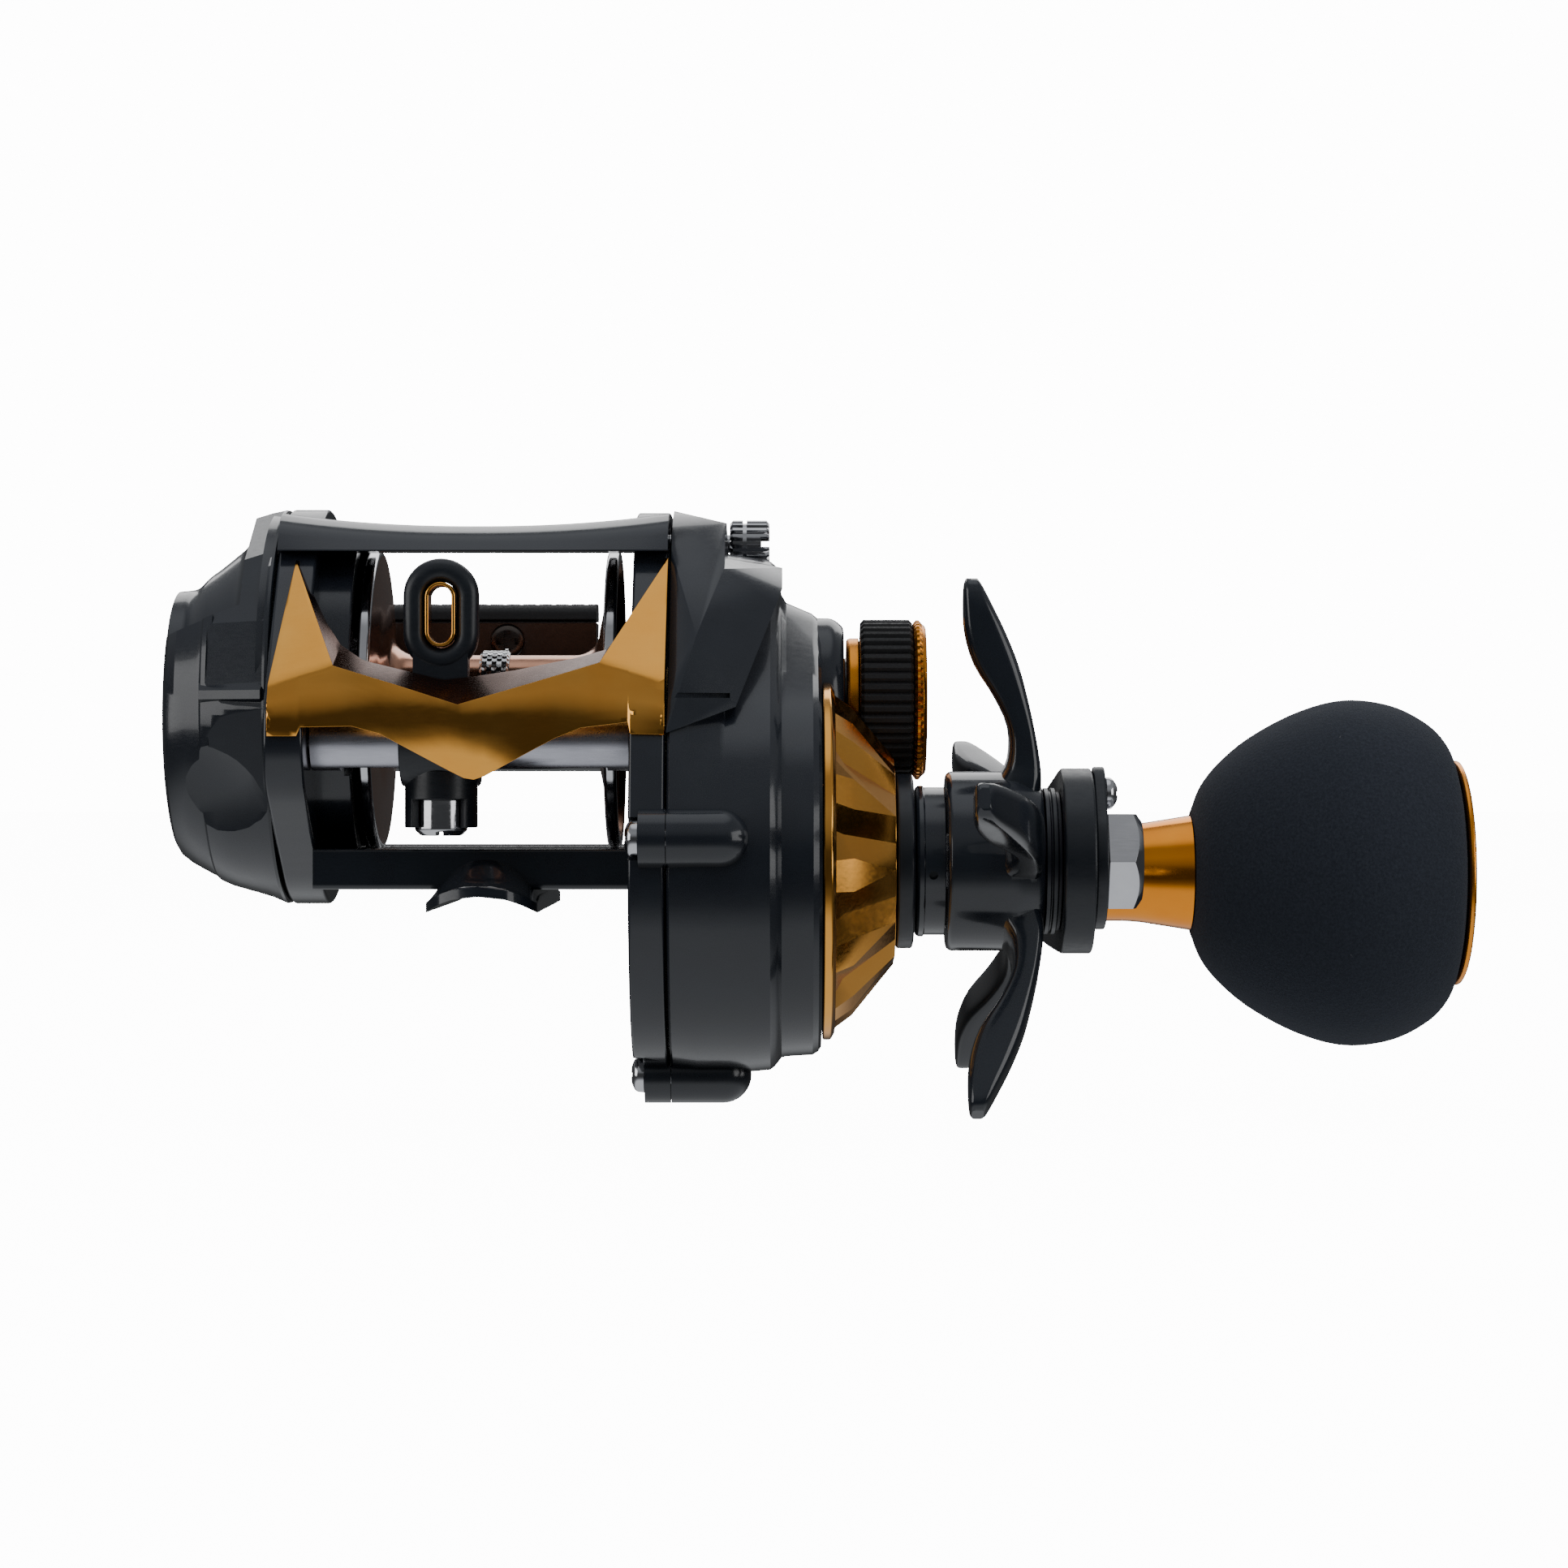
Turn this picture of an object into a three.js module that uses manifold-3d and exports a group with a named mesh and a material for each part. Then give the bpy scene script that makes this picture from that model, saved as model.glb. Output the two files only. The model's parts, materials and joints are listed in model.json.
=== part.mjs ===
// Low-profile baitcasting reel with a star drag and a power handle.
//
// Units are millimetres. +X runs along the spool's axis towards the handle, -Y is the front, where
// the line leaves, and +Z is up. The origin is on the underside of the foot, in the middle of its
// saddle, straight below the middle of the spool.

import * as THREE from 'three';
import { mergeVertices } from 'three/addons/utils/BufferGeometryUtils.js';
import Module from 'manifold-3d';

const wasm = await Module();
wasm.setup();

// ---------------------------------------------------------------- driving dimensions

const DEG = Math.PI / 180;
const GAP = 0.3; // between castings that face each other
const FIT = 0.05; // radial play of a shaft in its hole
const WALL = 1.6; // of the covers

// Axes that run along X, as places in the Y-Z plane
const SPOOL = { y: 0, z: 24.7 };
const MAIN = { y: -10, z: 4 };
const WORM = { y: -24, z: 19.5 };
const KNOB = { y: 45, z: 1.3 };
const TAKEDOWN = { y: 8, z: 45.4 };
const FRONT_SCREW = { y: -35.5, z: 7.2 };
const BOTTOM_SCREW = { y: -12, z: -23 };

// Faces along X, from the palm side to the handle side
const COVER_END_X = -40.8;
const PALM_RING_OUT_X = -26.1;
const PALM_RING_IN_X = -21.2;
const HANDLE_RING_IN_X = 18.4;
const HANDLE_FLOOR_X = 20.2;
const HANDLE_RING_OUT_X = 22.8;
const SIDE_PLATE_X = HANDLE_RING_OUT_X + GAP;
const SIDE_PLATE_END_X = 42;
const BOSS_END_X = 45;

// Circles that the outlines of the two sides wrap round
const PALM_DISC = { y: 0, z: 23.8, r: 25.5 };
const GEAR_DRUM = { ...MAIN, r: 26.4 };
const SPOOL_DISC = { ...SPOOL, r: 24.2 };
const NOSE = { ...WORM, r: 9.1 };
const TAIL = { y: 19, z: 24, r: 10.5 };
const OUTLINE_SIDES = 30;

// Spool
const FLANGE_R = 19.3;
const FLANGE_OUT_X = 16.2;
const FLANGE_IN_X = 14.6;
const ARBOR_R = 5.8;
const SHAFT_R = 2;
const SPOOL_CLEAR_R = 19.9;
const PALM_OPENING_R = 20.6;

// Gears: the drive gear turns the pinion, and the level-wind gear turns the worm
const DRIVE_TEETH = 42;
const PINION_TEETH = 7;
const LEVELWIND_TEETH = 30;
const WORM_TEETH = 13;
const MAIN_SHAFT_R = 3.5;

// Foot: a saddle for a reel seat
const FOOT_LENGTH = 64;
const FOOT_WIDTH = 13.8;
const FOOT_THICKNESS = 1.7;
const SADDLE_R = 18;
const SADDLE_FLAT = 3.2; // width of the flat strip along the crown

// Level wind
const GUIDE_X = -5.1; // where the line guide stands at rest
const GUARD_R = 4.05;

// ---------------------------------------------------------------- solids and booleans

function toManifold(geometry) {
  const bare = geometry.clone();
  bare.deleteAttribute('normal');
  bare.deleteAttribute('uv');
  const merged = mergeVertices(bare, 1e-4);
  const corners = merged.index.array;
  const triangles = [];
  for (let i = 0; i < corners.length; i += 3) {
    const [a, b, c] = corners.slice(i, i + 3);
    if (a !== b && b !== c && c !== a) triangles.push(a, b, c);
  }
  const vertProperties = Float32Array.from(merged.attributes.position.array);
  const triVerts = Uint32Array.from(triangles);
  return new wasm.Manifold(new wasm.Mesh({ numProp: 3, vertProperties, triVerts }));
}

function fromManifold(solid) {
  const mesh = solid.getMesh();
  const geometry = new THREE.BufferGeometry();
  geometry.setAttribute('position', new THREE.BufferAttribute(mesh.vertProperties, 3));
  geometry.setIndex(new THREE.BufferAttribute(mesh.triVerts, 1));
  return geometry;
}

function combine(operation, first, others) {
  let solid = toManifold(first);
  for (const other of others.flat()) solid = solid[operation](toManifold(other));
  return fromManifold(solid);
}

const join = (first, ...others) => combine('add', first, others);
const cut = (first, ...others) => combine('subtract', first, others);
const keep = (first, ...others) => combine('intersect', first, others);

// A solid turned about the X axis. The profile lists [x, radius]; off the axis it closes on itself.
function turned(profile, sides = 20) {
  const points = profile.map(([x, radius]) => new THREE.Vector2(radius, x));
  if (THREE.ShapeUtils.area(points) < 0) points.reverse();
  if (points[0].x > 0) points.push(points[0].clone());
  return new THREE.LatheGeometry(points, sides).rotateZ(-Math.PI / 2);
}

const rod = (x0, x1, radius, sides) => turned([[x0, 0], [x0, radius], [x1, radius], [x1, 0]], sides);

function ring(x0, x1, inner, outer, sides) {
  return turned([[x0, inner], [x0, outer], [x1, outer], [x1, inner]], sides);
}

const at = (geometry, place, x = 0) => geometry.translate(x, place.y, place.z);

function box(x0, x1, y0, y1, z0, z1) {
  const geometry = new THREE.BoxGeometry(x1 - x0, y1 - y0, z1 - z0);
  return geometry.translate((x0 + x1) / 2, (y0 + y1) / 2, (z0 + z1) / 2);
}

const axis = (x, y, z) => new THREE.Vector3(x, y, z);
const SEEN_FROM_SIDE = new THREE.Matrix4().makeBasis(axis(0, 1, 0), axis(0, 0, 1), axis(1, 0, 0));
const SEEN_FROM_FRONT = new THREE.Matrix4().makeBasis(axis(1, 0, 0), axis(0, 0, 1), axis(0, -1, 0));

function extrude(shape, depth, curveSegments) {
  return new THREE.ExtrudeGeometry(shape, { depth, curveSegments, bevelEnabled: false });
}

// A shape drawn in the Y-Z plane, thick from x0 to x1
function sidePlate(shape, x0, x1, curveSegments = 8) {
  return extrude(shape, x1 - x0, curveSegments).applyMatrix4(SEEN_FROM_SIDE).translate(x0, 0, 0);
}

// A shape drawn in the X-Z plane, thick from y0 (front) to y1 (back)
function frontPlate(shape, y0, y1, curveSegments = 8) {
  return extrude(shape, y1 - y0, curveSegments).applyMatrix4(SEEN_FROM_FRONT).translate(0, y1, 0);
}

const polygon = (corners) => new THREE.Shape(corners.map(([a, b]) => new THREE.Vector2(a, b)));

// The outline that a tight band round some circles would take, as points evenly spaced by angle
function bandRound(circles, grow = 0, centre = SPOOL) {
  const outline = [];
  for (let i = 0; i < OUTLINE_SIDES; i += 1) {
    const angle = (i * 2 * Math.PI) / OUTLINE_SIDES;
    let reach = Infinity;
    for (let turn = -80; turn <= 80; turn += 2) {
      const y = Math.cos(angle + turn * DEG);
      const z = Math.sin(angle + turn * DEG);
      const edges = circles.map((c) => (c.y - centre.y) * y + (c.z - centre.z) * z + c.r + grow);
      reach = Math.min(reach, Math.max(...edges) / Math.cos(turn * DEG));
    }
    outline.push([centre.y + reach * Math.cos(angle), centre.z + reach * Math.sin(angle)]);
  }
  return outline;
}

// A closed skin over outlines that stand at growing x, each a list of [y, z] points
function loft(stations) {
  const count = stations[0].outline.length;
  const positions = stations.flatMap(({ x, outline }) => outline.flatMap(([y, z]) => [x, y, z]));
  const index = [];
  for (let s = 0; s + 1 < stations.length; s += 1) {
    for (let i = 0; i < count; i += 1) {
      const a = s * count + i;
      const b = s * count + ((i + 1) % count);
      index.push(a, b, b + count, a, b + count, a + count);
    }
  }
  const last = (stations.length - 1) * count;
  for (let i = 1; i + 1 < count; i += 1) {
    index.push(0, i + 1, i);
    index.push(last, last + i, last + i + 1);
  }
  const geometry = new THREE.BufferGeometry();
  geometry.setAttribute('position', new THREE.Float32BufferAttribute(positions, 3));
  geometry.setIndex(index);
  return geometry;
}

const prism = (outline, x0, x1) => loft([{ x: x0, outline }, { x: x1, outline }]);

// ---------------------------------------------------------------- materials and placing

function finish(color, metalness, roughness) {
  return new THREE.MeshStandardMaterial({ color, metalness, roughness });
}

const MATERIALS = {
  black: finish(0x14161a, 0.3, 0.35),
  satin: finish(0x24262b, 0.4, 0.5),
  gold: finish(0xd9801f, 0.9, 0.25),
  rose: finish(0xc77a50, 0.9, 0.25),
  chrome: finish(0xc8c8cc, 1, 0.15),
  steel: finish(0x9a9ca0, 1, 0.35),
  brass: finish(0xb08d45, 1, 0.35),
  carbon: finish(0x1b1b1d, 0.1, 0.8),
  polymer: finish(0xb9b4a6, 0, 0.6),
  magnet: finish(0x6f7277, 1, 0.4),
  foam: finish(0x17181b, 0, 0.95),
};

const reel = new THREE.Group();

function groupAt(place, x = 0) {
  const group = new THREE.Group();
  group.position.set(x, place.y, place.z);
  reel.add(group);
  return group;
}

function add(parent, name, geometry, material) {
  const mesh = new THREE.Mesh(geometry, MATERIALS[material]);
  mesh.name = name;
  parent.add(mesh);
}

// ---------------------------------------------------------------- frame

const PALM_OUTLINE = [PALM_DISC, NOSE, TAIL];
const HANDLE_OUTLINE = [GEAR_DRUM, SPOOL_DISC, NOSE, TAIL];
const SCREW_R = 1.2;
const SCREW_HOLE_R = SCREW_R + 0.15;
const SCREW_HEAD_R = 2.1;
const LUG_R = 3.4;
const COLLAR_R = 22;
const COLLAR_END_X = -17.4;
const POST_R = 1.1;
const POST_REACH = 8.5; // from the spool's axis to each yoke post

// The yoke's posts stand on the line through the spool's axis that is square to the gears' centre line
const centreDistance = Math.hypot(SPOOL.y - MAIN.y, SPOOL.z - MAIN.z);
const acrossY = (SPOOL.z - MAIN.z) / centreDistance;
const acrossZ = -(SPOOL.y - MAIN.y) / centreDistance;
const YOKE_POSTS = [-1, 1].map((side) => ({
  y: SPOOL.y + side * POST_REACH * acrossY,
  z: SPOOL.z + side * POST_REACH * acrossZ,
}));

const LUGS = [
  { place: FRONT_SCREW, end: 32.3 },
  { place: BOTTOM_SCREW, end: 32.6 },
  { place: TAKEDOWN, end: 29.9 },
];

function foot() {
  const half = FOOT_WIDTH / 2;
  const flat = SADDLE_FLAT / 2;
  const drop = (x) => Math.sqrt(SADDLE_R ** 2 - x ** 2) - Math.sqrt(SADDLE_R ** 2 - flat ** 2);
  const stops = [flat, 3.4, 5.2, half];
  const right = stops.map((x) => [x, drop(x)]);
  const left = stops.map((x) => [-x, drop(x)]).reverse();
  const top = [[half, -0.6], [5.2, 0.7], [2.2, FOOT_THICKNESS], [-2.2, FOOT_THICKNESS], [-5.2, 0.7]];
  const crescent = polygon([...left, ...right, ...top, [-half, -0.6]]);
  const tongue = frontPlate(crescent, -FOOT_LENGTH / 2, FOOT_LENGTH / 2);
  const plan = new THREE.Shape();
  const straight = FOOT_LENGTH / 2 - half;
  plan.absarc(0, straight, half, 0, Math.PI);
  plan.absarc(0, -straight, half, Math.PI, 2 * Math.PI);
  const blank = extrude(plan, 8, 8).translate(0, 0, -4);
  const pedestal = sidePlate(polygon([[-28, 1], [28, 1], [19, 5], [-19, 5]]), -4.6, 4.6);
  return join(keep(tongue, blank), pedestal);
}

// A collar inside the ring stands round the rim of the spool's flange
function palmRing() {
  const outer = prism(bandRound(PALM_OUTLINE), PALM_RING_OUT_X, PALM_RING_IN_X);
  const opening = at(rod(-30, -18, PALM_OPENING_R, OUTLINE_SIDES), SPOOL);
  const bushHole = at(rod(-24.8, -18, 2.6, 16), WORM);
  const guideSlot = box(-23, -17, 20.6, 23.4, 26.4, 34.6);
  const collar = at(ring(PALM_RING_IN_X - 0.4, COLLAR_END_X, SPOOL_CLEAR_R, COLLAR_R, OUTLINE_SIDES), SPOOL);
  const guardNotch = at(rod(PALM_RING_IN_X, -17, GUARD_R + 0.2, 20), WORM);
  return cut(join(cut(outer, opening), cut(collar, guardNotch)), bushHole, guideSlot);
}

function handleRing() {
  const outer = prism(bandRound(HANDLE_OUTLINE), HANDLE_RING_IN_X, HANDLE_RING_OUT_X);
  const hollow = prism(bandRound(HANDLE_OUTLINE, -WALL), HANDLE_FLOOR_X, HANDLE_RING_OUT_X + 1);
  const lugs = LUGS.map(({ place }) => at(rod(HANDLE_FLOOR_X - 1, HANDLE_RING_OUT_X, LUG_R, 16), place));
  const lugHoles = LUGS.map(({ place }) => at(rod(HANDLE_FLOOR_X - 1.6, 24, SCREW_HOLE_R, 10), place));
  const heads = [FRONT_SCREW, BOTTOM_SCREW].map((place) => at(rod(16, 20.15, SCREW_HEAD_R + 0.3, 12), place));
  const posts = YOKE_POSTS.map((place) => at(rod(HANDLE_FLOOR_X - 1, 33.8, POST_R, 8), place));
  const bores = [
    at(rod(19, 24, 2.2 + FIT, 16), MAIN),
    at(rod(18, 24, 5.1, 16), SPOOL),
    at(rod(18, 24, 2.6, 16), WORM),
    at(rod(HANDLE_FLOOR_X, 24, 7.7), WORM),
    box(18, 21, 19.9, 22.7, 23.6, 32.4), // slot for the clutch arm
  ];
  const shell = join(cut(outer, hollow), lugs);
  return join(cut(shell, lugHoles, heads, bores), posts);
}

function crossMembers() {
  const left = PALM_RING_IN_X - 0.4;
  const right = HANDLE_RING_IN_X + 0.4;
  const topBar = polygon([[-17.6, 42.7], [-9.2, 43.3], [-6.4, 45], [-6.6, 46.9], [-12, 46.9], [-17.4, 44.4]]);
  const rearBar = at(rod(left, right, 2, 12), { y: 26.5, z: 17.5 });
  const floor = box(left, right, -20, 22, 0.5, 5.7);
  const relief = [box(-19, -8, -17, 19, 0, 3.2), box(8, 16.4, -17, 19, 0, 3.2)];
  const well = at(rod(-17.6, 17.6, SPOOL_CLEAR_R, OUTLINE_SIDES), SPOOL);
  return join(cut(floor, relief, well), sidePlate(topBar, left, right), rearBar);
}

add(reel, 'frame', join(palmRing(), handleRing(), crossMembers(), foot()), 'black');

// ---------------------------------------------------------------- front cover and worm guard

function frontCover() {
  const trim = [PALM_DISC, NOSE, SPOOL_DISC];
  const skin = cut(prism(bandRound(trim, 1.9), -30, 30), prism(bandRound(trim, -0.5), -31, 31));
  const face = polygon([
    [-24.8, 19.5], [-21.3, 19.5], [-21, 20.7], [-11.6, 20.2], [-1.3, 14.4], [0.2, 14.4], [11.1, 20.3],
    [18.5, 21.2], [18.8, 19.8], [23, 19.8], [23, 42.4], [18.3, 33], [14.5, 29.5], [-0.3, 26.6],
    [-4.5, 26.4], [-14.3, 28.8], [-17.6, 31.1], [-24.6, 41.8],
  ]);
  const rings = [
    prism(bandRound(PALM_OUTLINE, 0.15), PALM_RING_OUT_X - GAP, PALM_RING_IN_X + GAP),
    prism(bandRound(HANDLE_OUTLINE, 0.15), HANDLE_RING_IN_X - GAP, SIDE_PLATE_X + 5),
  ];
  return cut(keep(skin, frontPlate(face, -40, -12)), rings);
}

function wormGuard() {
  const tube = ring(PALM_RING_IN_X + 0.2, HANDLE_RING_IN_X - 0.2, 3.2, GUARD_R, 20);
  return cut(tube, box(-17.5, 15.5, -1.7, 1.7, -6, 0));
}

const wormGroup = groupAt(WORM);
add(reel, 'front_cover', frontCover(), 'gold');
add(wormGroup, 'worm_guard', wormGuard(), 'satin');

// ---------------------------------------------------------------- handle-side housing

// Each station: how far along X, the radii there of the drum, spool disc, nose and tail, and how far
// along X the hollow inside reaches with the same shape
const HOUSING = [
  { x: SIDE_PLATE_X, drum: 26.4, disc: 24.2, nose: 9.1, tail: 10.5, tailY: 19, inside: 22 },
  { x: 29.6, drum: 26.7, disc: 22.9, nose: 6.5, tail: 9.4, tailY: 18.4 },
  { x: 30, drum: 26.7, disc: 18.4, nose: 6.2, tail: 8.4, tailY: 17, inside: 28.6 },
  { x: 36.6, drum: 26.7, disc: 17.2, nose: 3, tail: 5, tailY: 13, inside: 35.4 },
  { x: 37.4, drum: 24.8, disc: 12.6, nose: 3, tail: 4, tailY: 8, inside: 36.2 },
  { x: SIDE_PLATE_END_X, drum: 24.4, disc: 10.6, nose: 3, tail: 4, tailY: 4, inside: 40.4 },
];

function housingOutline({ drum, disc, nose, tail, tailY }, grow = 0) {
  const circles = [{ ...MAIN, r: drum }, { ...SPOOL, r: disc }, { ...WORM, r: nose }];
  return bandRound([...circles, { y: tailY, z: TAIL.z, r: tail }], grow);
}

function gearSidePlate() {
  const outer = loft(HOUSING.map((station) => ({ x: station.x, outline: housingOutline(station) })));
  const roof = SIDE_PLATE_END_X - WALL;
  const inside = HOUSING.filter((station) => station.inside !== undefined);
  const hollow = loft(inside.map((station) => {
    return { x: station.inside, outline: housingOutline(station, -WALL) };
  }));
  const boss = at(turned([[39, 0], [39, 10.6], [44.2, 10.6], [BOSS_END_X, 9.6], [BOSS_END_X, 5.4],
    [50.5, 5.4], [50.5, 0]]), SPOOL);
  const lugs = LUGS.map(({ place, end }) => at(turned([[SIDE_PLATE_X, 0], [SIDE_PLATE_X, LUG_R],
    [end - 1.5, LUG_R], [end, LUG_R - 1.5], [end, 0]], 16), place));
  const springSeats = YOKE_POSTS.map((place) => at(rod(35.2, 39.6, 2.2, 8), place));
  const holes = [
    at(rod(roof - 2, SIDE_PLATE_END_X + 1, 8.3), MAIN),
    at(rod(38, BOSS_END_X, 2.2, 12), SPOOL),
    at(rod(42.3, 52, 4.2, 16), SPOOL),
    at(rod(20, 30.4, SCREW_HOLE_R, 10), FRONT_SCREW),
    at(rod(20, 30.4, SCREW_HOLE_R, 10), BOTTOM_SCREW),
    at(rod(20, 31, SCREW_HOLE_R + 0.1, 10), TAKEDOWN),
  ];
  return cut(join(cut(outer, hollow), boss, lugs, springSeats), holes);
}

// The cone is scalloped round the tension knob
function gearBezel() {
  const cone = turned([
    [42.15, 20.9], [42.15, 22.7], [43.5, 22.7], [44.2, 21.4], [51.3, 12.6], [51.3, 6.5], [50.6, 6.5],
    [50.6, 8.1], [42.4, 8.1], [42.4, 9.6], [49.7, 9.6], [49.7, 12.2], [43, 20.6],
  ], 24);
  const scallop = rod(40, 54, 11.3, 20).translate(0, SPOOL.y - MAIN.y, SPOOL.z - MAIN.z);
  return cut(cone, scallop);
}

function sideScrew() {
  const head = [[18.7, 0], [18.9, 1.3], [19.5, SCREW_HEAD_R], [20.05, SCREW_HEAD_R], [20.05, SCREW_R]];
  return turned([...head, [30, SCREW_R], [30, 0]], 10);
}

const spoolGroup = groupAt(SPOOL);
const mainGroup = groupAt(MAIN);
add(reel, 'gear_side_plate', gearSidePlate(), 'black');
add(groupAt(FRONT_SCREW), 'side_screw_front', sideScrew(), 'chrome');
add(groupAt(BOTTOM_SCREW), 'side_screw_bottom', sideScrew(), 'chrome');
add(mainGroup, 'gear_bezel', gearBezel(), 'gold');
add(mainGroup, 'bearing_cap', ring(51.5, 53.7, 5.2, 11.1, 24), 'black');
add(mainGroup, 'one_way_bearing', ring(42.5, 50.4, 5.1, 7.95, 20), 'steel');
add(spoolGroup, 'pinion_bearing', ring(18.35, 20.15, 3.48, 4.98, 16), 'steel');
add(spoolGroup, 'tension_bearing', ring(42.5, 45.5, 1.65, 4.1, 16), 'steel');
add(wormGroup, 'worm_bush_palm', ring(-24.4, -21.4, 1.55, 2.5, 16), 'polymer');
add(wormGroup, 'worm_bush_handle', ring(18.4, 20.2, 1.55, 2.5, 16), 'polymer');

// ---------------------------------------------------------------- palm side: cover and magnetic brake

// Each station: how far along X, the height and radius of the round cover there, and how far along X
// the hollow inside reaches with the same shape
const COVER = [
  { x: COVER_END_X, z: 22.25, r: 17.2, inside: -39.2 },
  { x: -38.1, z: 22.8, r: 19.6 },
  { x: -36.5, z: 22.4, r: 21.6, inside: -34.9 },
  { x: -33.9, z: 23.6, r: 22.9 },
  { x: -30.7, z: 24.2, r: 23.9, inside: -29.1 },
  { x: PALM_RING_OUT_X - GAP, z: 23.8, r: 25.4, inside: -25 },
];

function palmCover() {
  const disc = (x, { z, r }, grow) => ({ x, outline: bandRound([{ y: 0, z, r }], grow) });
  const outer = loft(COVER.map((station) => disc(station.x, station, 0)));
  const inside = COVER.filter((station) => station.inside !== undefined);
  const shell = cut(outer, loft(inside.map((station) => disc(station.inside, station, -WALL))));
  const hub = turned([[-40, 5.6], [-40, 7.2], [-33, 7.2], [-33, 5.2], [-17.3, 5.2], [-17.3, 4.1],
    [-20.1, 4.1], [-20.1, 3], [-36.5, 3], [-36.5, 5.6]], 16);
  const bayonet = turned([[-28.2, 18.6], [-28.2, 24.4], [-26.6, 24.4], [-26.6, 20.2], [-22.5, 20.2],
    [-22.5, 18.6]], 24);
  const dialHole = at(rod(-42, -38, 5.6, 20), SPOOL);
  return cut(join(shell, at(hub, SPOOL), at(bayonet, SPOOL)), dialHole);
}

add(reel, 'palm_cover', palmCover(), 'black');
add(spoolGroup, 'palm_bearing', ring(-19.9, -17.5, 1.55, 3.98, 16), 'steel');
add(spoolGroup, 'brake_dial', turned([[-41.8, 0], [-41.8, 4.6], [-41.2, 5.3], [-39.6, 5.3],
  [-39.6, 2.4], [-36.7, 2.4], [-36.7, 0]], 20), 'satin');
add(spoolGroup, 'magnet_carrier', ring(-24.6, -22.5, 5.35, 11.5, 20), 'polymer');
add(spoolGroup, 'magnet_ring', ring(-22.3, -19.3, 8.7, 11, 20), 'magnet');

// ---------------------------------------------------------------- spool

function spoolProfile() {
  const fillet = 3.2;
  const steps = 2;
  const half = [[FLANGE_OUT_X, 17.9], [FLANGE_OUT_X, FLANGE_R], [FLANGE_IN_X, FLANGE_R]];
  for (let i = 0; i <= steps; i += 1) {
    const angle = (i / steps) * 90 * DEG;
    half.push([13.5 - fillet * (1 - Math.cos(angle)), ARBOR_R + fillet * (1 - Math.sin(angle))]);
  }
  const bore = SHAFT_R + FIT;
  const inside = [[12.2, bore], [12.2, 3.4], [14.5, 9.4], [15.2, 17.4]];
  const mirrored = (points) => points.map(([x, r]) => [-x, r]).reverse();
  return [...inside, ...half, ...mirrored(half), ...mirrored(inside)];
}

const PIN_R = 0.6;
const PIN_X = 17.6;
const crossRod = (radius, length) => new THREE.CylinderGeometry(radius, radius, length, 8);

add(spoolGroup, 'spool', turned(spoolProfile(), 24), 'rose');
add(spoolGroup, 'arbor_band', ring(-1.9, 1.9, ARBOR_R + FIT, 6.2, 24), 'chrome');
add(spoolGroup, 'spool_shaft', cut(
  turned([[-19.8, 0], [-19.8, 1.5], [-17.2, 1.5], [-17.2, SHAFT_R], [19, SHAFT_R], [19, 1.6],
    [46.4, 1.6], [46.4, 0]], 16),
  crossRod(PIN_R + FIT, 8).translate(PIN_X, 0, 0),
), 'steel');
add(spoolGroup, 'shaft_pin', crossRod(PIN_R, 5.8).translate(PIN_X, 0, 0), 'steel');
add(spoolGroup, 'inductor_cup', turned([[-14.9, 2.05], [-14.9, 7.4], [-18.4, 7.4], [-18.4, 8],
  [-14.3, 8], [-14.3, 3.2], [-12.3, 3.2], [-12.3, 2.05]], 20), 'steel');

// ---------------------------------------------------------------- gears

// A spur gear's outline round the origin of the Y-Z plane, with a tooth pointing along the phase angle
function gearShape(teeth, pitchR, boreR, phase) {
  const module = (2 * pitchR) / teeth;
  const pitch = (2 * Math.PI) / teeth;
  const rootR = pitchR - module;
  const tipR = pitchR + 0.75 * module;
  const flanks = [[rootR, -0.27], [tipR, -0.09], [tipR, 0.09], [rootR, 0.27]];
  const corners = [];
  for (let tooth = 0; tooth < teeth; tooth += 1) {
    for (const [radius, offset] of flanks) {
      const angle = phase + (tooth + offset) * pitch;
      corners.push([radius * Math.cos(angle), radius * Math.sin(angle)]);
    }
  }
  const shape = polygon(corners);
  shape.holes.push(new THREE.Path().absarc(0, 0, boreR, 0, 2 * Math.PI));
  return shape;
}

// Two gears in mesh: the first has a tooth on the centre line, and the second a gap
function meshing(first, second, teethFirst, teethSecond) {
  const angle = Math.atan2(second.z - first.z, second.y - first.y);
  const distance = Math.hypot(second.z - first.z, second.y - first.y);
  const firstR = (distance * teethFirst) / (teethFirst + teethSecond);
  const secondPhase = angle + Math.PI + Math.PI / teethSecond;
  return { firstR, secondR: distance - firstR, firstPhase: angle, secondPhase };
}

const driveMesh = meshing(MAIN, SPOOL, DRIVE_TEETH, PINION_TEETH);
const levelMesh = meshing(MAIN, WORM, LEVELWIND_TEETH, WORM_TEETH);
const SHAFT_BORE_R = MAIN_SHAFT_R + FIT;

function driveGear() {
  const { firstR, firstPhase } = driveMesh;
  const blank = sidePlate(gearShape(DRIVE_TEETH, firstR, SHAFT_BORE_R, firstPhase), 25, 29);
  return cut(blank, rod(27.5, 30, 15.5));
}

function pinionGear() {
  const { secondR, secondPhase } = driveMesh;
  const teeth = sidePlate(gearShape(PINION_TEETH, secondR, 1.75, secondPhase), 24.8, 34);
  const sleeve = turned([[16.9, 2.1], [16.9, 3.4], [22.1, 3.4], [22.1, 4.2], [22.8, 4.2], [22.8, 2.5],
    [24.9, 2.5], [24.9, 1.75], [19.3, 1.75], [19.3, 2.1]], 16);
  return cut(join(sleeve, teeth), box(16, 18.5, -5, 5, -0.85, 0.85));
}

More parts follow.
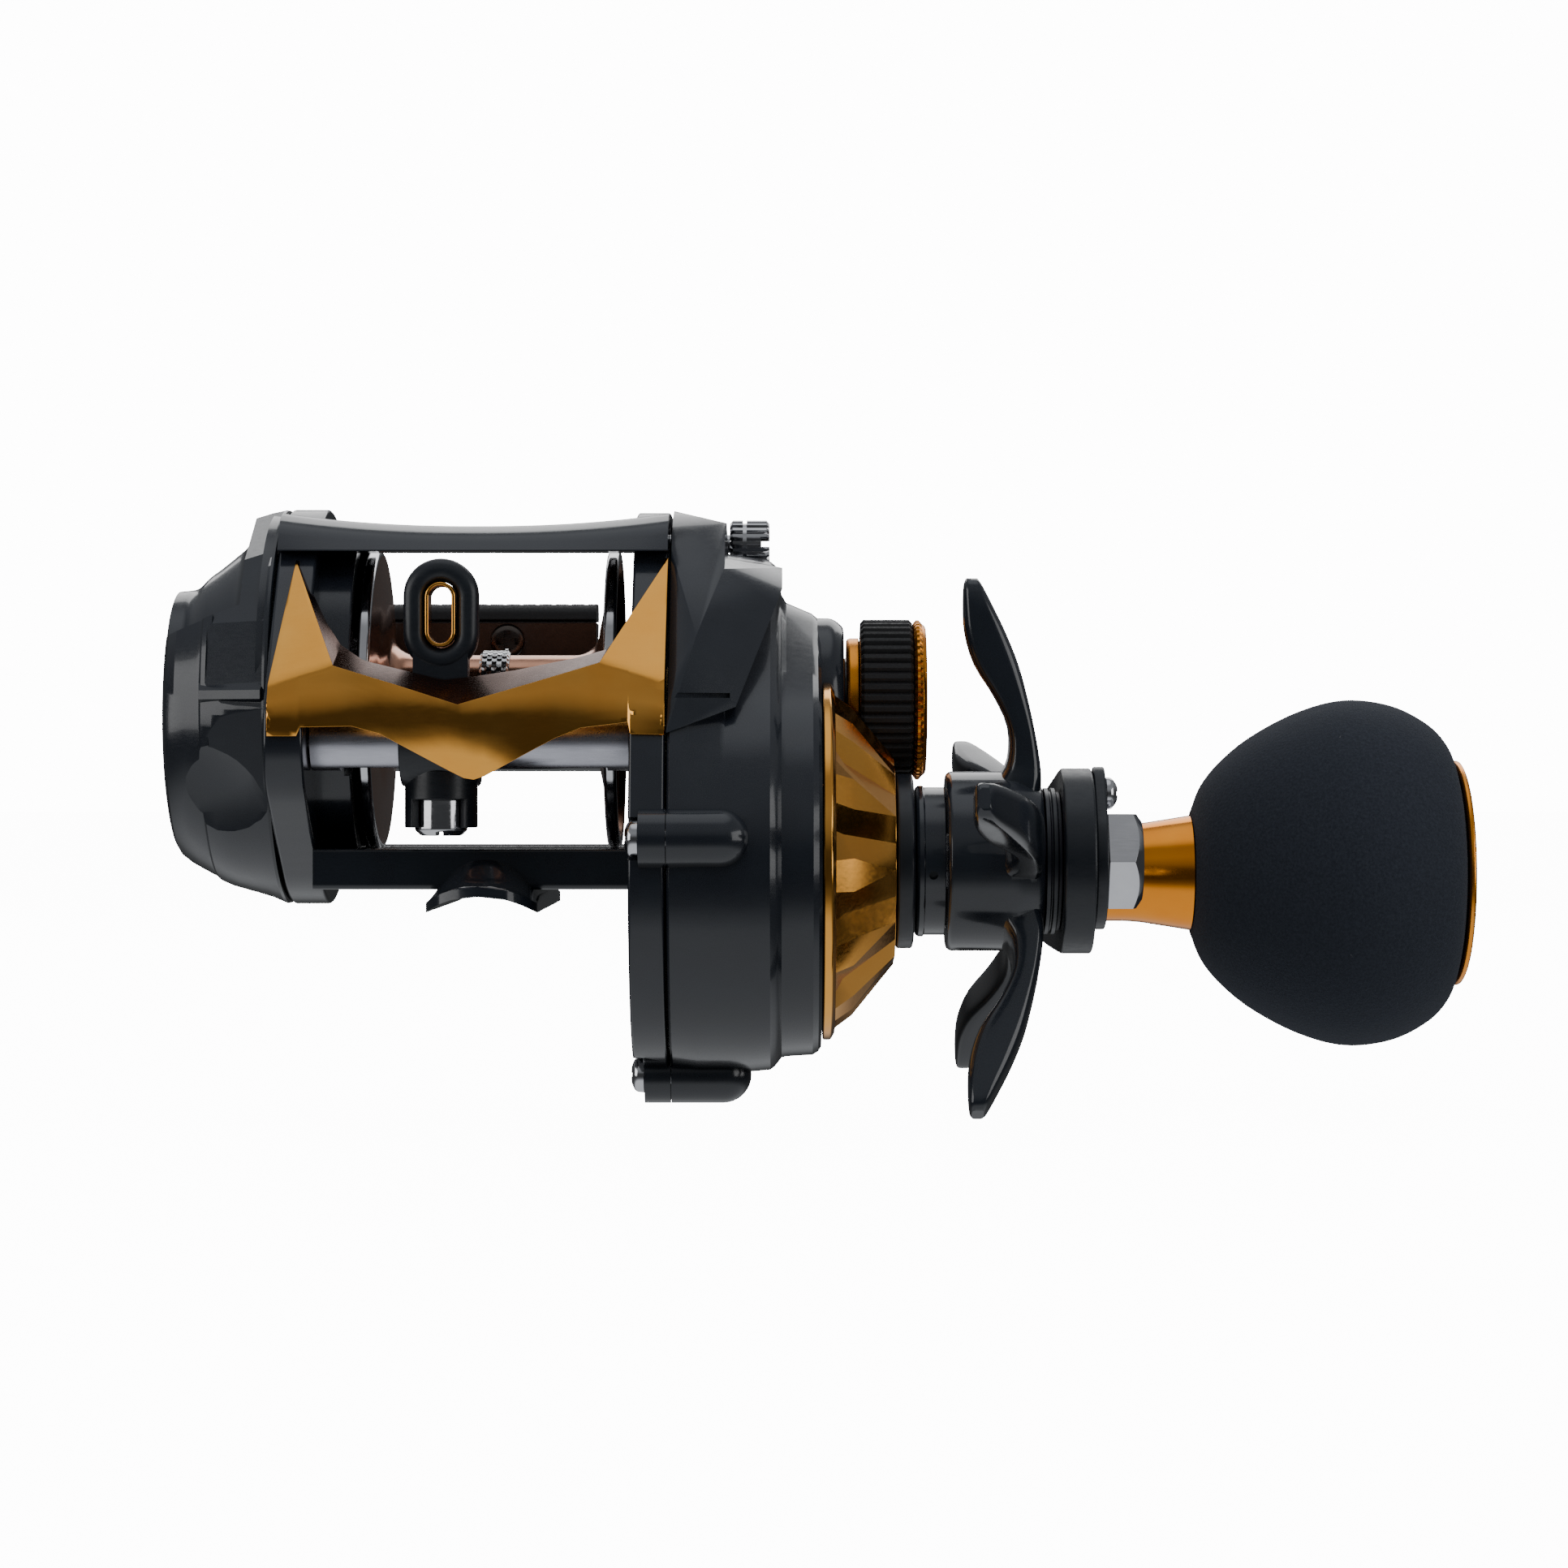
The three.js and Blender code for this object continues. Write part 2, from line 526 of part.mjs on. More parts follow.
function ratchetWheel() {
  const teeth = 12;
  const corners = [];
  for (let tooth = 0; tooth < teeth; tooth += 1) {
    const angle = (tooth * 2 * Math.PI) / teeth;
    const next = angle + (0.92 * 2 * Math.PI) / teeth;
    corners.push([9 * Math.cos(angle), 9 * Math.sin(angle)], [7.2 * Math.cos(next), 7.2 * Math.sin(next)]);
  }
  const shape = polygon(corners);
  shape.holes.push(new THREE.Path().absarc(0, 0, SHAFT_BORE_R, 0, 2 * Math.PI));
  return sidePlate(shape, 22.7, 23.9);
}

const levelGear = gearShape(LEVELWIND_TEETH, levelMesh.firstR, SHAFT_BORE_R, levelMesh.firstPhase);
const wormGear = gearShape(WORM_TEETH, levelMesh.secondR, 1.55, levelMesh.secondPhase);

add(spoolGroup, 'pinion_gear', pinionGear(), 'brass');
add(mainGroup, 'drive_gear', driveGear(), 'brass');
add(mainGroup, 'ratchet_wheel', ratchetWheel(), 'steel');
add(mainGroup, 'levelwind_drive_gear', sidePlate(levelGear, 20.7, 22.4), 'polymer');
add(wormGroup, 'worm_gear', sidePlate(wormGear, 20.7, 22.4), 'polymer');

// ---------------------------------------------------------------- clutch

function clutchYoke() {
  const [front, rear] = YOKE_POSTS;
  const bar = prism(bandRound([{ ...front, r: 2.7 }, { ...rear, r: 2.7 }]), 23.1, 24.5);
  const collar = at(rod(23.1, 24.5, 5.6, 16), SPOOL);
  const holes = [at(rod(22, 26, 3.05, 16), SPOOL), at(rod(20, 30, 21), MAIN)];
  const postHoles = YOKE_POSTS.map((place) => at(rod(22, 26, POST_R + 0.15, 8), place));
  return cut(join(bar, collar), holes, postHoles);
}

// A plate that straddles the pinion's sleeve; its rear end meets the thumb bar's arm
function clutchPlate() {
  return sidePlate(polygon([
    [-6.2, 24.4], [-4.2, 24.4], [-4.2, 32.8], [4.2, 32.8], [4.2, 20.5], [6.2, 20.5], [6.2, 27],
    [19.5, 27.6], [22.4, 27.6], [22.4, 32.2], [8, 36.2], [-6.2, 36.2],
  ]), 20.5, 21.9);
}

function thumbBar() {
  const bar = sidePlate(polygon([[20.6, 35.6], [22, 30.4], [24.5, 30.4], [28.5, 35.6]]), -16.5, 12);
  const arm = box(11, 20.4, 20.3, 22.3, 28, 32);
  const tab = box(-22.6, -16, 21, 23, 31, 34);
  const screwHole = turned([[-6, 0], [-6, 2.1], [-1.9, 2.1], [-1.9, 1], [4, 1], [4, 0]], 12);
  return cut(join(bar, arm, tab), screwHole.rotateZ(Math.PI / 2).translate(0, 23, 33));
}

const thumbPad = polygon([[20.2, 35.9], [20.5, 37.4], [21.6, 38], [27.6, 38.3], [28.7, 37.6], [28.9, 35.9]]);

function thumbBarScrew() {
  const screw = turned([[-3.4, 0], [-3.2, 1.2], [-2.6, 1.9], [-2, 1.9], [-2, 0.9], [2, 0.9], [2, 0]], 10);
  return screw.rotateZ(Math.PI / 2).translate(0, 23, 33);
}

add(reel, 'clutch_yoke', clutchYoke(), 'steel');
['yoke_spring_front', 'yoke_spring_rear'].forEach((name, i) => {
  add(groupAt(YOKE_POSTS[i]), name, ring(24.6, 33.2, 1.35, 2.1, 8), 'steel');
});
add(reel, 'clutch_plate', clutchPlate(), 'steel');
add(reel, 'thumb_bar', thumbBar(), 'satin');
add(reel, 'thumb_pad', sidePlate(thumbPad, -16.5, 12), 'black');
add(reel, 'thumb_bar_screw', thumbBarScrew(), 'steel');

// ---------------------------------------------------------------- main shaft and drag

function mainShaft() {
  return turned([[19.1, 0], [19.1, 2.2], [20.5, 2.2], [20.5, MAIN_SHAFT_R], [24.05, MAIN_SHAFT_R],
    [24.05, 6.5], [24.85, 6.5], [24.85, MAIN_SHAFT_R], [78.05, MAIN_SHAFT_R], [78.05, 3], [82.2, 3],
    [82.2, 0]], 16);
}

add(mainGroup, 'main_shaft', mainShaft(), 'steel');
add(mainGroup, 'drag_washer', ring(27.7, 28.5, 4.5, 15.2), 'carbon');
add(mainGroup, 'pressure_washer', ring(28.7, 29.7, SHAFT_BORE_R, 14.6), 'steel');
add(mainGroup, 'drag_sleeve', turned([[30, SHAFT_BORE_R], [30, 5], [53.9, 5], [53.9, 9.5], [57.6, 9.5],
  [57.6, SHAFT_BORE_R]], 20), 'black');
add(mainGroup, 'drag_spring_washer', turned([[57.9, 5.6], [59.2, SHAFT_BORE_R], [60.1, SHAFT_BORE_R],
  [58.8, 7.8], [57.9, 7.8]], 16), 'steel');

// ---------------------------------------------------------------- star drag

const STAR_ARMS = 5;
const FIRST_ARM = 5; // degrees that the top arm leans to the front

// Each section: how far out, the arm's faces along X there, and half its width
const ARM_SECTIONS = [
  { radius: 9.2, x0: 65, x1: 69.8, half: 4.3 },
  { radius: 14, x0: 66.2, x1: 69.3, half: 3.8 },
  { radius: 20, x0: 64.3, x1: 68.2, half: 3.4 },
  { radius: 27, x0: 60.3, x1: 66, half: 3 },
  { radius: 34, x0: 60, x1: 62.8, half: 2.4 },
  { radius: 35.8, x0: 60.4, x1: 61.9, half: 1.8 },
];

function starArm(angle) {
  const stations = ARM_SECTIONS.map(({ radius, x0, x1, half }) => {
    const shoulder = half * 0.55;
    const inset = (x1 - x0) * 0.25;
    const outline = [[x0 + inset, -half], [x1 - inset, -half], [x1, -shoulder], [x1, shoulder],
      [x1 - inset, half], [x0 + inset, half], [x0, shoulder], [x0, -shoulder]];
    return { x: radius, outline };
  });
  const upright = new THREE.Matrix4().makeBasis(axis(0, 0, 1), axis(1, 0, 0), axis(0, 1, 0));
  return loft(stations).applyMatrix4(upright).rotateX(angle);
}

function starDrag() {
  const hub = turned([[57.8, 8.6], [57.8, 11.4], [66.6, 11.4], [70, 9.6], [70, 3.7], [65.5, 3.7],
    [65.5, 8.6]], 20);
  const arms = [];
  for (let i = 0; i < STAR_ARMS; i += 1) arms.push(starArm((FIRST_ARM + (i * 360) / STAR_ARMS) * DEG));
  return cut(join(hub, arms), rod(57, 65.5, 8.6, 20));
}

add(mainGroup, 'star_drag', starDrag(), 'black');

// ---------------------------------------------------------------- handle

const ARM_X = 72.3;
const ARM_THICKNESS = 4;
const RETAINER_SCREW = { y: MAIN.y, z: MAIN.z + 8.6 };

function handleArm() {
  const ends = [{ ...MAIN, r: 11.8 }, { ...KNOB, r: 8.6 }];
  const middle = { y: (MAIN.y + KNOB.y) / 2, z: (MAIN.z + KNOB.z) / 2 };
  const face = bandRound(ends, -0.8, middle);
  const edge = bandRound(ends, 0, middle);
  const outer = ARM_X + ARM_THICKNESS;
  const blank = loft([
    { x: ARM_X, outline: face },
    { x: ARM_X + 0.8, outline: edge },
    { x: outer - 0.8, outline: edge },
    { x: outer, outline: face },
  ]);
  const holes = [
    at(rod(70, 80, SHAFT_BORE_R, 16), MAIN),
    at(rod(70, 80, 2.65, 16), KNOB),
    at(rod(72.8, 80, SCREW_HOLE_R, 10), RETAINER_SCREW),
  ];
  return cut(blank, holes);
}

function nutRetainer() {
  const outline = bandRound([{ ...MAIN, r: 8.7 }, { ...RETAINER_SCREW, r: 3.4 }], 0, MAIN);
  const blank = prism(outline, 76.5, 78);
  return cut(blank, at(rod(76, 79, 3.6, 16), MAIN), at(rod(76, 79, SCREW_HOLE_R, 10), RETAINER_SCREW));
}

function handleNut() {
  const hexagon = new THREE.Shape();
  for (let i = 0; i < 6; i += 1) {
    const angle = i * 60 * DEG;
    hexagon[i === 0 ? 'moveTo' : 'lineTo'](6.9 * Math.cos(angle), 6.9 * Math.sin(angle));
  }
  const blank = sidePlate(hexagon, 78.25, 82.7);
  const dome = turned([[78, 0], [78, 6.8], [80.8, 6.8], [82.7, 5], [82.7, 0]]);
  return cut(keep(blank, dome), rod(77, 83, 3.05, 16));
}

function retainerScrew() {
  return turned([[73, 0], [73, SCREW_R], [78.1, SCREW_R], [78.1, 2.05], [79.1, 2.05], [79.7, 1.2],
    [79.7, 0]], 10);
}

add(mainGroup, 'handle_spacer', ring(70.2, 72.15, 3.6, 9.3), 'satin');
add(reel, 'handle_arm', handleArm(), 'black');
add(reel, 'nut_retainer', nutRetainer(), 'black');
add(groupAt(RETAINER_SCREW), 'retainer_screw', retainerScrew(), 'chrome');
add(mainGroup, 'handle_nut', handleNut(), 'chrome');

// ---------------------------------------------------------------- knob

const knobGroup = groupAt(KNOB);
add(knobGroup, 'knob_spindle', turned([[71, 0], [71, 3.4], [71.6, 4.2], [72.15, 4.2], [72.15, 2.6],
  [76.5, 2.6], [76.5, 4.2], [78.3, 4.2], [78.3, 3], [129, 3], [129, 0]], 16), 'steel');
add(knobGroup, 'knob_bearing_inner', ring(78.8, 82.2, 3.07, 4.6, 16), 'steel');
add(knobGroup, 'knob_bearing_outer', ring(124, 127.4, 3.07, 4.6, 16), 'steel');
add(knobGroup, 'knob_core', turned([[78.6, 4.65], [78.6, 6.2], [79.2, 6.75], [86, 6.75], [94.3, 8.05],
  [94.3, 7.3], [130.3, 7.3], [130.3, 4.65], [123.8, 4.65], [123.8, 3.4], [82.4, 3.4],
  [82.4, 4.65]], 16), 'gold');
add(knobGroup, 'knob_grip', turned([[94.6, 7.45], [94.6, 8.9], [96.1, 12.6], [101.8, 18.3],
  [109.8, 22.9], [116.1, 24.35], [122.4, 23.7], [128.1, 20.6], [130.4, 17.7], [131.1, 15],
  [130.5, 13.5], [130.5, 7.45]], 24), 'foam');
add(knobGroup, 'knob_cap', turned([[129.3, 0], [129.3, 4.55], [131.3, 4.55], [131.3, 15.8],
  [132.1, 15.8], [132.4, 15.2], [132.4, 0]], 24), 'gold');

// ---------------------------------------------------------------- level wind

function stadium(halfWidth, halfHeight, centreX, centreZ) {
  const shape = new THREE.Shape();
  const straight = halfHeight - halfWidth;
  shape.absarc(centreX, centreZ + straight, halfWidth, 0, Math.PI);
  shape.absarc(centreX, centreZ - straight, halfWidth, Math.PI, 2 * Math.PI);
  return shape;
}

const EYE_Z = 34.7;
const PAWL_CAP_Z = 7.4;
const upright = (geometry) => geometry.rotateY(-Math.PI / 2); // from along X to along Z

function lineGuide() {
  const half = 4.85;
  const x0 = GUIDE_X - half;
  const x1 = GUIDE_X + half;
  const sleeve = at(rod(x0, x1, 6, 20), WORM);
  const pawlHousing = upright(rod(8.4, 15.4, 4.5, 20)).translate(GUIDE_X, WORM.y, 0);
  const neck = box(GUIDE_X - 3.4, GUIDE_X + 3.4, -27.2, -22.6, 22, 30);
  const eye = frontPlate(stadium(4.6, 6.6, GUIDE_X, EYE_Z), -27.4, -21.9, 8);
  const cuts = [
    at(rod(x0 - 1, x1 + 1, GUARD_R + 0.2, 20), WORM),
    at(rod(x0 - 1, x1 + 1, SPOOL_CLEAR_R, OUTLINE_SIDES), SPOOL),
    frontPlate(stadium(1.95, 4.1, GUIDE_X, EYE_Z), -30, -20, 6),
    upright(rod(12.1, 16, 2.35, 16)).translate(GUIDE_X, WORM.y, 0),
    upright(rod(7, 12.1, 3.4, 16)).translate(GUIDE_X, WORM.y, 0),
    box(GUIDE_X - 4.7, GUIDE_X + 3.2, -30, WORM.y - 1, 7, 11.9),
  ];
  return cut(join(sleeve, pawlHousing, neck, eye), cuts);
}

function guideInsert() {
  const shape = stadium(1.88, 4.03, GUIDE_X, EYE_Z);
  shape.holes.push(stadium(1.1, 3.35, GUIDE_X, EYE_Z));
  return frontPlate(shape, -27.7, -21.6, 6);
}

function pawl() {
  const body = upright(rod(12.3, 15.4, 2.2, 12));
  return join(body, box(-0.45, 0.45, -1.4, 1.4, 15, 16.95));
}

const pawlGroup = groupAt({ y: WORM.y, z: 0 }, GUIDE_X);
add(wormGroup, 'worm_shaft', turned([[-24.6, 0], [-24.6, 1.5], [-21, 1.5], [-21, 2.4], [17.8, 2.4],
  [17.8, 1.5], [22.6, 1.5], [22.6, 0]], 16), 'steel');
add(reel, 'line_guide', lineGuide(), 'black');
add(reel, 'guide_insert', guideInsert(), 'gold');
add(pawlGroup, 'pawl', pawl(), 'steel');
add(pawlGroup, 'pawl_cap', upright(turned([[PAWL_CAP_Z, 0], [PAWL_CAP_Z, 2.7], [PAWL_CAP_Z + 0.6, 3.25],
  [11.9, 3.25], [11.9, 0]], 16)), 'chrome');

// ---------------------------------------------------------------- tension knob and takedown screw

function ribbedRing(ribs, outer, depth, inner) {
  const shape = new THREE.Shape();
  for (let i = 0; i < 2 * ribs; i += 1) {
    const radius = i % 2 === 0 ? outer : outer - depth;
    const angle = (i * Math.PI) / ribs;
    shape[i === 0 ? 'moveTo' : 'lineTo'](radius * Math.cos(angle), radius * Math.sin(angle));
  }
  if (inner > 0) shape.holes.push(new THREE.Path().absarc(0, 0, inner, 0, 2 * Math.PI));
  return shape;
}

function takedownScrew() {
  const head = sidePlate(ribbedRing(14, 3.1, 0.3, 0), 30.2, 35.4);
  return cut(join(head, rod(20.9, 31, SCREW_R, 10)), box(34.3, 36, -4, 4, -0.5, 0.5));
}

add(spoolGroup, 'tension_knob', turned([[51, 0], [51, 5.6], [45.35, 5.6], [45.35, 8], [47, 8],
  [47, 7.6], [54, 7.6], [54, 10.3], [55, 10.3], [55.6, 9.6], [55.6, 0]]), 'gold');
add(spoolGroup, 'tension_grip', sidePlate(ribbedRing(24, 10.4, 0.5, 7.75), 47.15, 53.85, 10), 'black');
add(groupAt(TAKEDOWN), 'takedown_screw', takedownScrew(), 'chrome');

export default reel;
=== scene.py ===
"""Looks of the baitcasting reel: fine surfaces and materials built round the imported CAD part.

Shapes are written in millimetres in the part's own frame (+X to the handle, -Y to the front, +Z up)
and scaled to metres when they become meshes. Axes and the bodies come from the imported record.
"""

import json
import math

import bmesh
import bpy
import numpy as np
from mathutils import Matrix, Vector


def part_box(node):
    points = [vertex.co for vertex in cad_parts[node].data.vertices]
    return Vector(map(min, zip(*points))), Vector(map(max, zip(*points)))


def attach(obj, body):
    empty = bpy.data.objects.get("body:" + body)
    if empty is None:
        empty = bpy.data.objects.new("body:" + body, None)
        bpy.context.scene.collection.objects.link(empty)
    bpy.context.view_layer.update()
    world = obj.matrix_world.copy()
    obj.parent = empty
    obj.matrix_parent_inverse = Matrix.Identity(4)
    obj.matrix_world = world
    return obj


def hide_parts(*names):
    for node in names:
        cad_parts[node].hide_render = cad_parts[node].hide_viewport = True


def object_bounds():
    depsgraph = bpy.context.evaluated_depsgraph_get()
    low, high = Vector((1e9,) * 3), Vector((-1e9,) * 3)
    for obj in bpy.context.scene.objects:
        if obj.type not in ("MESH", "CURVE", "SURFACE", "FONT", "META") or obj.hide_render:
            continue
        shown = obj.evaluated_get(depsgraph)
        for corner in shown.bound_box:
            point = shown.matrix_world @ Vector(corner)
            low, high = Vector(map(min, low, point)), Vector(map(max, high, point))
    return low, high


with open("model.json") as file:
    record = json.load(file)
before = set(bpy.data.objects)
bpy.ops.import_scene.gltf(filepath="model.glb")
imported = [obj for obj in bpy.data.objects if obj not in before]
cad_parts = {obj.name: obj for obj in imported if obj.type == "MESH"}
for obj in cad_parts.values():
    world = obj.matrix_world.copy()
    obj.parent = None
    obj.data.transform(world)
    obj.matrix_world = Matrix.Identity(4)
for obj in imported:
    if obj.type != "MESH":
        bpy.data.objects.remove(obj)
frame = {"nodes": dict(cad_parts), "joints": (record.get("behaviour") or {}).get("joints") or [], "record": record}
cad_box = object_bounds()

MM = 0.001
RECORD = frame["record"]
JOINTS = {joint["name"]: joint for joint in frame["joints"]}
BODY_OF = {node: body for body, nodes in RECORD["behaviour"]["bodies"].items() for node in nodes}
SLOT_OF = {part["node"]: part["material_slot"] for part in RECORD["subparts"]}


def axis_of(joint):
    """Where a joint's axis crosses the Y-Z plane, in millimetres."""
    position = JOINTS[joint]["pos_m"]
    return position[1] / MM, position[2] / MM


SPOOL = axis_of("spool_spin")
MAIN = axis_of("handle_spin")
WORM = axis_of("worm_spin")
KNOB = axis_of("knob_spin")
TAKEDOWN = axis_of("takedown_turn")


def reach(node):
    """A CAD node's lowest and highest corners, in millimetres."""
    low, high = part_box(node)
    return low / MM, high / MM


def middle(node):
    low, high = reach(node)
    return (low.y + high.y) / 2, (low.z + high.z) / 2


# ---------------------------------------------------------------- meshes


def make_object(name, points, faces, material):
    mesh = bpy.data.meshes.new(name)
    mesh.from_pydata([Vector(p) * MM for p in points], [], faces)
    body = bmesh.new()
    body.from_mesh(mesh)
    bmesh.ops.remove_doubles(body, verts=body.verts, dist=1e-7)
    bmesh.ops.recalc_face_normals(body, faces=body.faces)
    body.to_mesh(mesh)
    body.free()
    mesh.materials.append(material)
    piece = bpy.data.objects.new(name, mesh)
    bpy.context.scene.collection.objects.link(piece)
    return piece


def settle(piece):
    """Turns a piece's modifiers into plain mesh."""
    graph = bpy.context.evaluated_depsgraph_get()
    old = piece.data
    made = bpy.data.meshes.new_from_object(piece.evaluated_get(graph), depsgraph=graph)
    made.validate()
    piece.modifiers.clear()
    piece.data = made
    bpy.data.meshes.remove(old)
    return piece


def combine(piece, tools, operation):
    for tool in tools:
        modifier = piece.modifiers.new("combine", "BOOLEAN")
        modifier.operation = operation
        modifier.solver = "EXACT"
        modifier.object = tool
    settle(piece)
    for tool in tools:
        data = tool.data
        bpy.data.objects.remove(tool)
        bpy.data.meshes.remove(data)
    return piece


def cut(piece, *tools):
    return combine(piece, tools, "DIFFERENCE")


def join(piece, *tools):
    return combine(piece, tools, "UNION")


def keep(piece, *tools):
    return combine(piece, tools, "INTERSECT")


def smooth(piece, sharp=32):
    piece.data.shade_smooth()
    piece.data.set_sharp_from_angle(angle=math.radians(sharp))
    return piece


def even(piece, sharp=32):
    """Smooth shading whose normals follow the large faces, for pieces that have been cut or joined."""
    smooth(piece, sharp)
    weights = piece.modifiers.new("normals", "WEIGHTED_NORMAL")
    weights.keep_sharp = True
    weights.weight = 60
    return settle(piece)


def hull(name, points, material=None):
    """The convex solid round some points."""
    mesh = bpy.data.meshes.new(name)
    body = bmesh.new()
    for point in points:
        body.verts.new(Vector(point) * MM)
    made = bmesh.ops.convex_hull(body, input=body.verts)
    loose = {v for v in made["geom_interior"] + made["geom_unused"] if isinstance(v, bmesh.types.BMVert)}
    bmesh.ops.delete(body, geom=list(loose), context="VERTS")
    bmesh.ops.dissolve_limit(body, angle_limit=0.02, verts=body.verts, edges=body.edges)
    bmesh.ops.recalc_face_normals(body, faces=body.faces)
    body.to_mesh(mesh)
    body.free()
    mesh.materials.append(material)
    piece = bpy.data.objects.new(name, mesh)
    bpy.context.scene.collection.objects.link(piece)
    return piece


def paint(piece, material, chosen):
    """Gives a second material to the faces whose middle (in millimetres) is chosen."""
    piece.data.materials.append(material)
    for face in piece.data.polygons:
        if chosen(*(face.center / MM)):
            face.material_index = 1
    return piece


def off_axis(place, y, z):
    return math.hypot(y - place[0], z - place[1])


def polar(place, radius, angle):
    """A point in the Y-Z plane by its distance and its angle from a place."""
    return place[0] + radius * math.cos(angle), place[1] + radius * math.sin(angle)


def turns(count):
    """Evenly spaced angles over a whole turn."""
    return [2 * math.pi * i / count for i in range(count)]


def ease(t):
    """Goes from 0 to 1 with a level start and end."""
    t = min(1.0, max(0.0, t))
    return t * t * (3 - 2 * t)


def bevel(piece, width, segments=3, angle=32):
    modifier = piece.modifiers.new("bevel", "BEVEL")
    modifier.width = width * MM
    modifier.segments = segments
    modifier.limit_method = "ANGLE"
    modifier.angle_limit = math.radians(angle)
    modifier.use_clamp_overlap = True
    modifier.miter_outer = "MITER_ARC"
    settle(piece)
    piece.data.shade_smooth()
    weights = piece.modifiers.new("normals", "WEIGHTED_NORMAL")
    weights.keep_sharp = False
    weights.weight = 60
    return settle(piece)


def stand_for(piece, *nodes):
    """The piece rides with the CAD nodes it stands for, and those nodes are hidden."""
    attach(piece, BODY_OF[nodes[0]])
    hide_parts(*nodes)
    return piece


def go_with(piece, node):
    """The piece rides with a CAD node without standing for it."""
    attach(piece, BODY_OF[node])
    return piece


# ---------------------------------------------------------------- outlines and skins


def soften(points, radius, closed=False, steps=4):
    """Rounds the corners of a line in a plane. A point may carry its own radius as a third number."""
    made = []
    count = len(points)
    for i, point in enumerate(points):
        here = Vector(point[:2])
        wanted = point[2] if len(point) > 2 else radius
        if wanted <= 0 or (not closed and i in (0, count - 1)):
            made.append(tuple(here))
            continue
        before = Vector(points[i - 1][:2]) - here
        after = Vector(points[(i + 1) % count][:2]) - here
        back = min(wanted, before.length * 0.48, after.length * 0.48)
        start = here + before.normalized() * back
        end = here + after.normalized() * back
        for step in range(steps + 1):
            t = step / steps
            made.append(tuple(start * (1 - t) ** 2 + here * 2 * t * (1 - t) + end * t * t))
    return made


def curve_through(points, steps=6):
    """A smooth line through points in a plane or in space."""
    knots = [Vector(p) for p in points]
    knots = [knots[0] * 2 - knots[1], *knots, knots[-1] * 2 - knots[-2]]
    made = []
    for a, b, c, d in zip(knots, knots[1:], knots[2:], knots[3:]):
        for step in range(steps):
            t = step / steps
            made.append(tuple(
                0.5 * (b * 2 + (c - a) * t + (a * 2 - b * 5 + c * 4 - d) * t * t
                       + (b * 3 - a - c * 3 + d) * t ** 3)
            ))
    made.append(tuple(knots[-2]))
    return made


def arc(centre_y, centre_z, radius, start, end, steps=16):
    """Points on a circle in a plane, from one angle to another in degrees."""
    angles = [math.radians(start + (end - start) * i / steps) for i in range(steps + 1)]
    return [polar((centre_y, centre_z), radius, a) for a in angles]


def skin(rings, capped=True, closed=False):
    """Points and faces over closed rings of equal length."""
    count = len(rings[0])
    points = [p for ring in rings for p in ring]
    faces = []
    last = len(rings) if closed else len(rings) - 1
    for r in range(last):
        low = r * count
        high = ((r + 1) % len(rings)) * count
        for i in range(count):
            j = (i + 1) % count
            faces.append((low + i, low + j, high + j, high + i))
    if capped and not closed:
        faces.append(tuple(range(count))[::-1])
        faces.append(tuple(range((len(rings) - 1) * count, len(rings) * count)))
    return points, faces


def lathe(name, profile, place, material, sides=96, radius=0.0):
    """A turned piece about an axis along X. The profile lists (x, radius from the axis)."""
    line = soften(profile, radius, closed=profile[0][1] > 0) if radius else [p[:2] for p in profile]
    rings = [[(x, *polar(place, r, a)) for a in turns(sides)] for x, r in line]
    points, faces = skin(rings, capped=False, closed=profile[0][1] > 0)
    return make_object(name, points, faces, material)


def turned(node, name, profile, place, material, sides=96, radius=0.0):
    """A smooth turned piece that stands for a CAD node."""
    return stand_for(smooth(lathe(name, profile, place, material, sides, radius)), node)


def rod(x0, x1, radius, place, sides=64):
    return lathe("tool", [(x0, 0), (x0, radius), (x1, radius), (x1, 0)], place, None, sides)


def block(x0, x1, y0, y1, z0, z1):
    outline = [(y0, z0), (y1, z0), (y1, z1), (y0, z1)]
    return slab("tool", outline, x0, x1, None)


def cross_recess(screw, place, x0, x1, arm, half_width):
    """Cuts a screwdriver's cross into the end of a screw."""
    y, z = place
    upright_slot = block(x0, x1, y - half_width, y + half_width, z - arm, z + arm)
    level_slot = block(x0, x1, y - arm, y + arm, z - half_width, z + half_width)
    return cut(screw, upright_slot, level_slot)


def slab(name, outline, x0, x1, material):
    """An outline in the Y-Z plane, thick from x0 to x1."""
    rings = [[(x, y, z) for y, z in outline] for x in (x0, x1)]
    return make_object(name, *skin(rings), material)


def band(circles, grow=0.0, count=144, centre=SPOOL):
    """The line that a tight band round some circles (y, z, r) takes, evenly spaced by angle."""
    turn = np.radians(np.arange(-80, 81, 1.0))
    outline = []
    for angle in turns(count):
        y, z = np.cos(angle + turn), np.sin(angle + turn)
        edges = [(c[0] - centre[0]) * y + (c[1] - centre[1]) * z + c[2] + grow for c in circles]
        distance = float(np.min(np.max(edges, axis=0) / np.cos(turn)))
        outline.append(polar(centre, distance, angle))
    return outline


def loft(name, stations, material):
    """A solid through outlines in Y-Z planes, given as (x, outline)."""
    rings = [[(x, y, z) for y, z in outline] for x, outline in stations]
    return make_object(name, *skin(rings), material)


# ---------------------------------------------------------------- materials


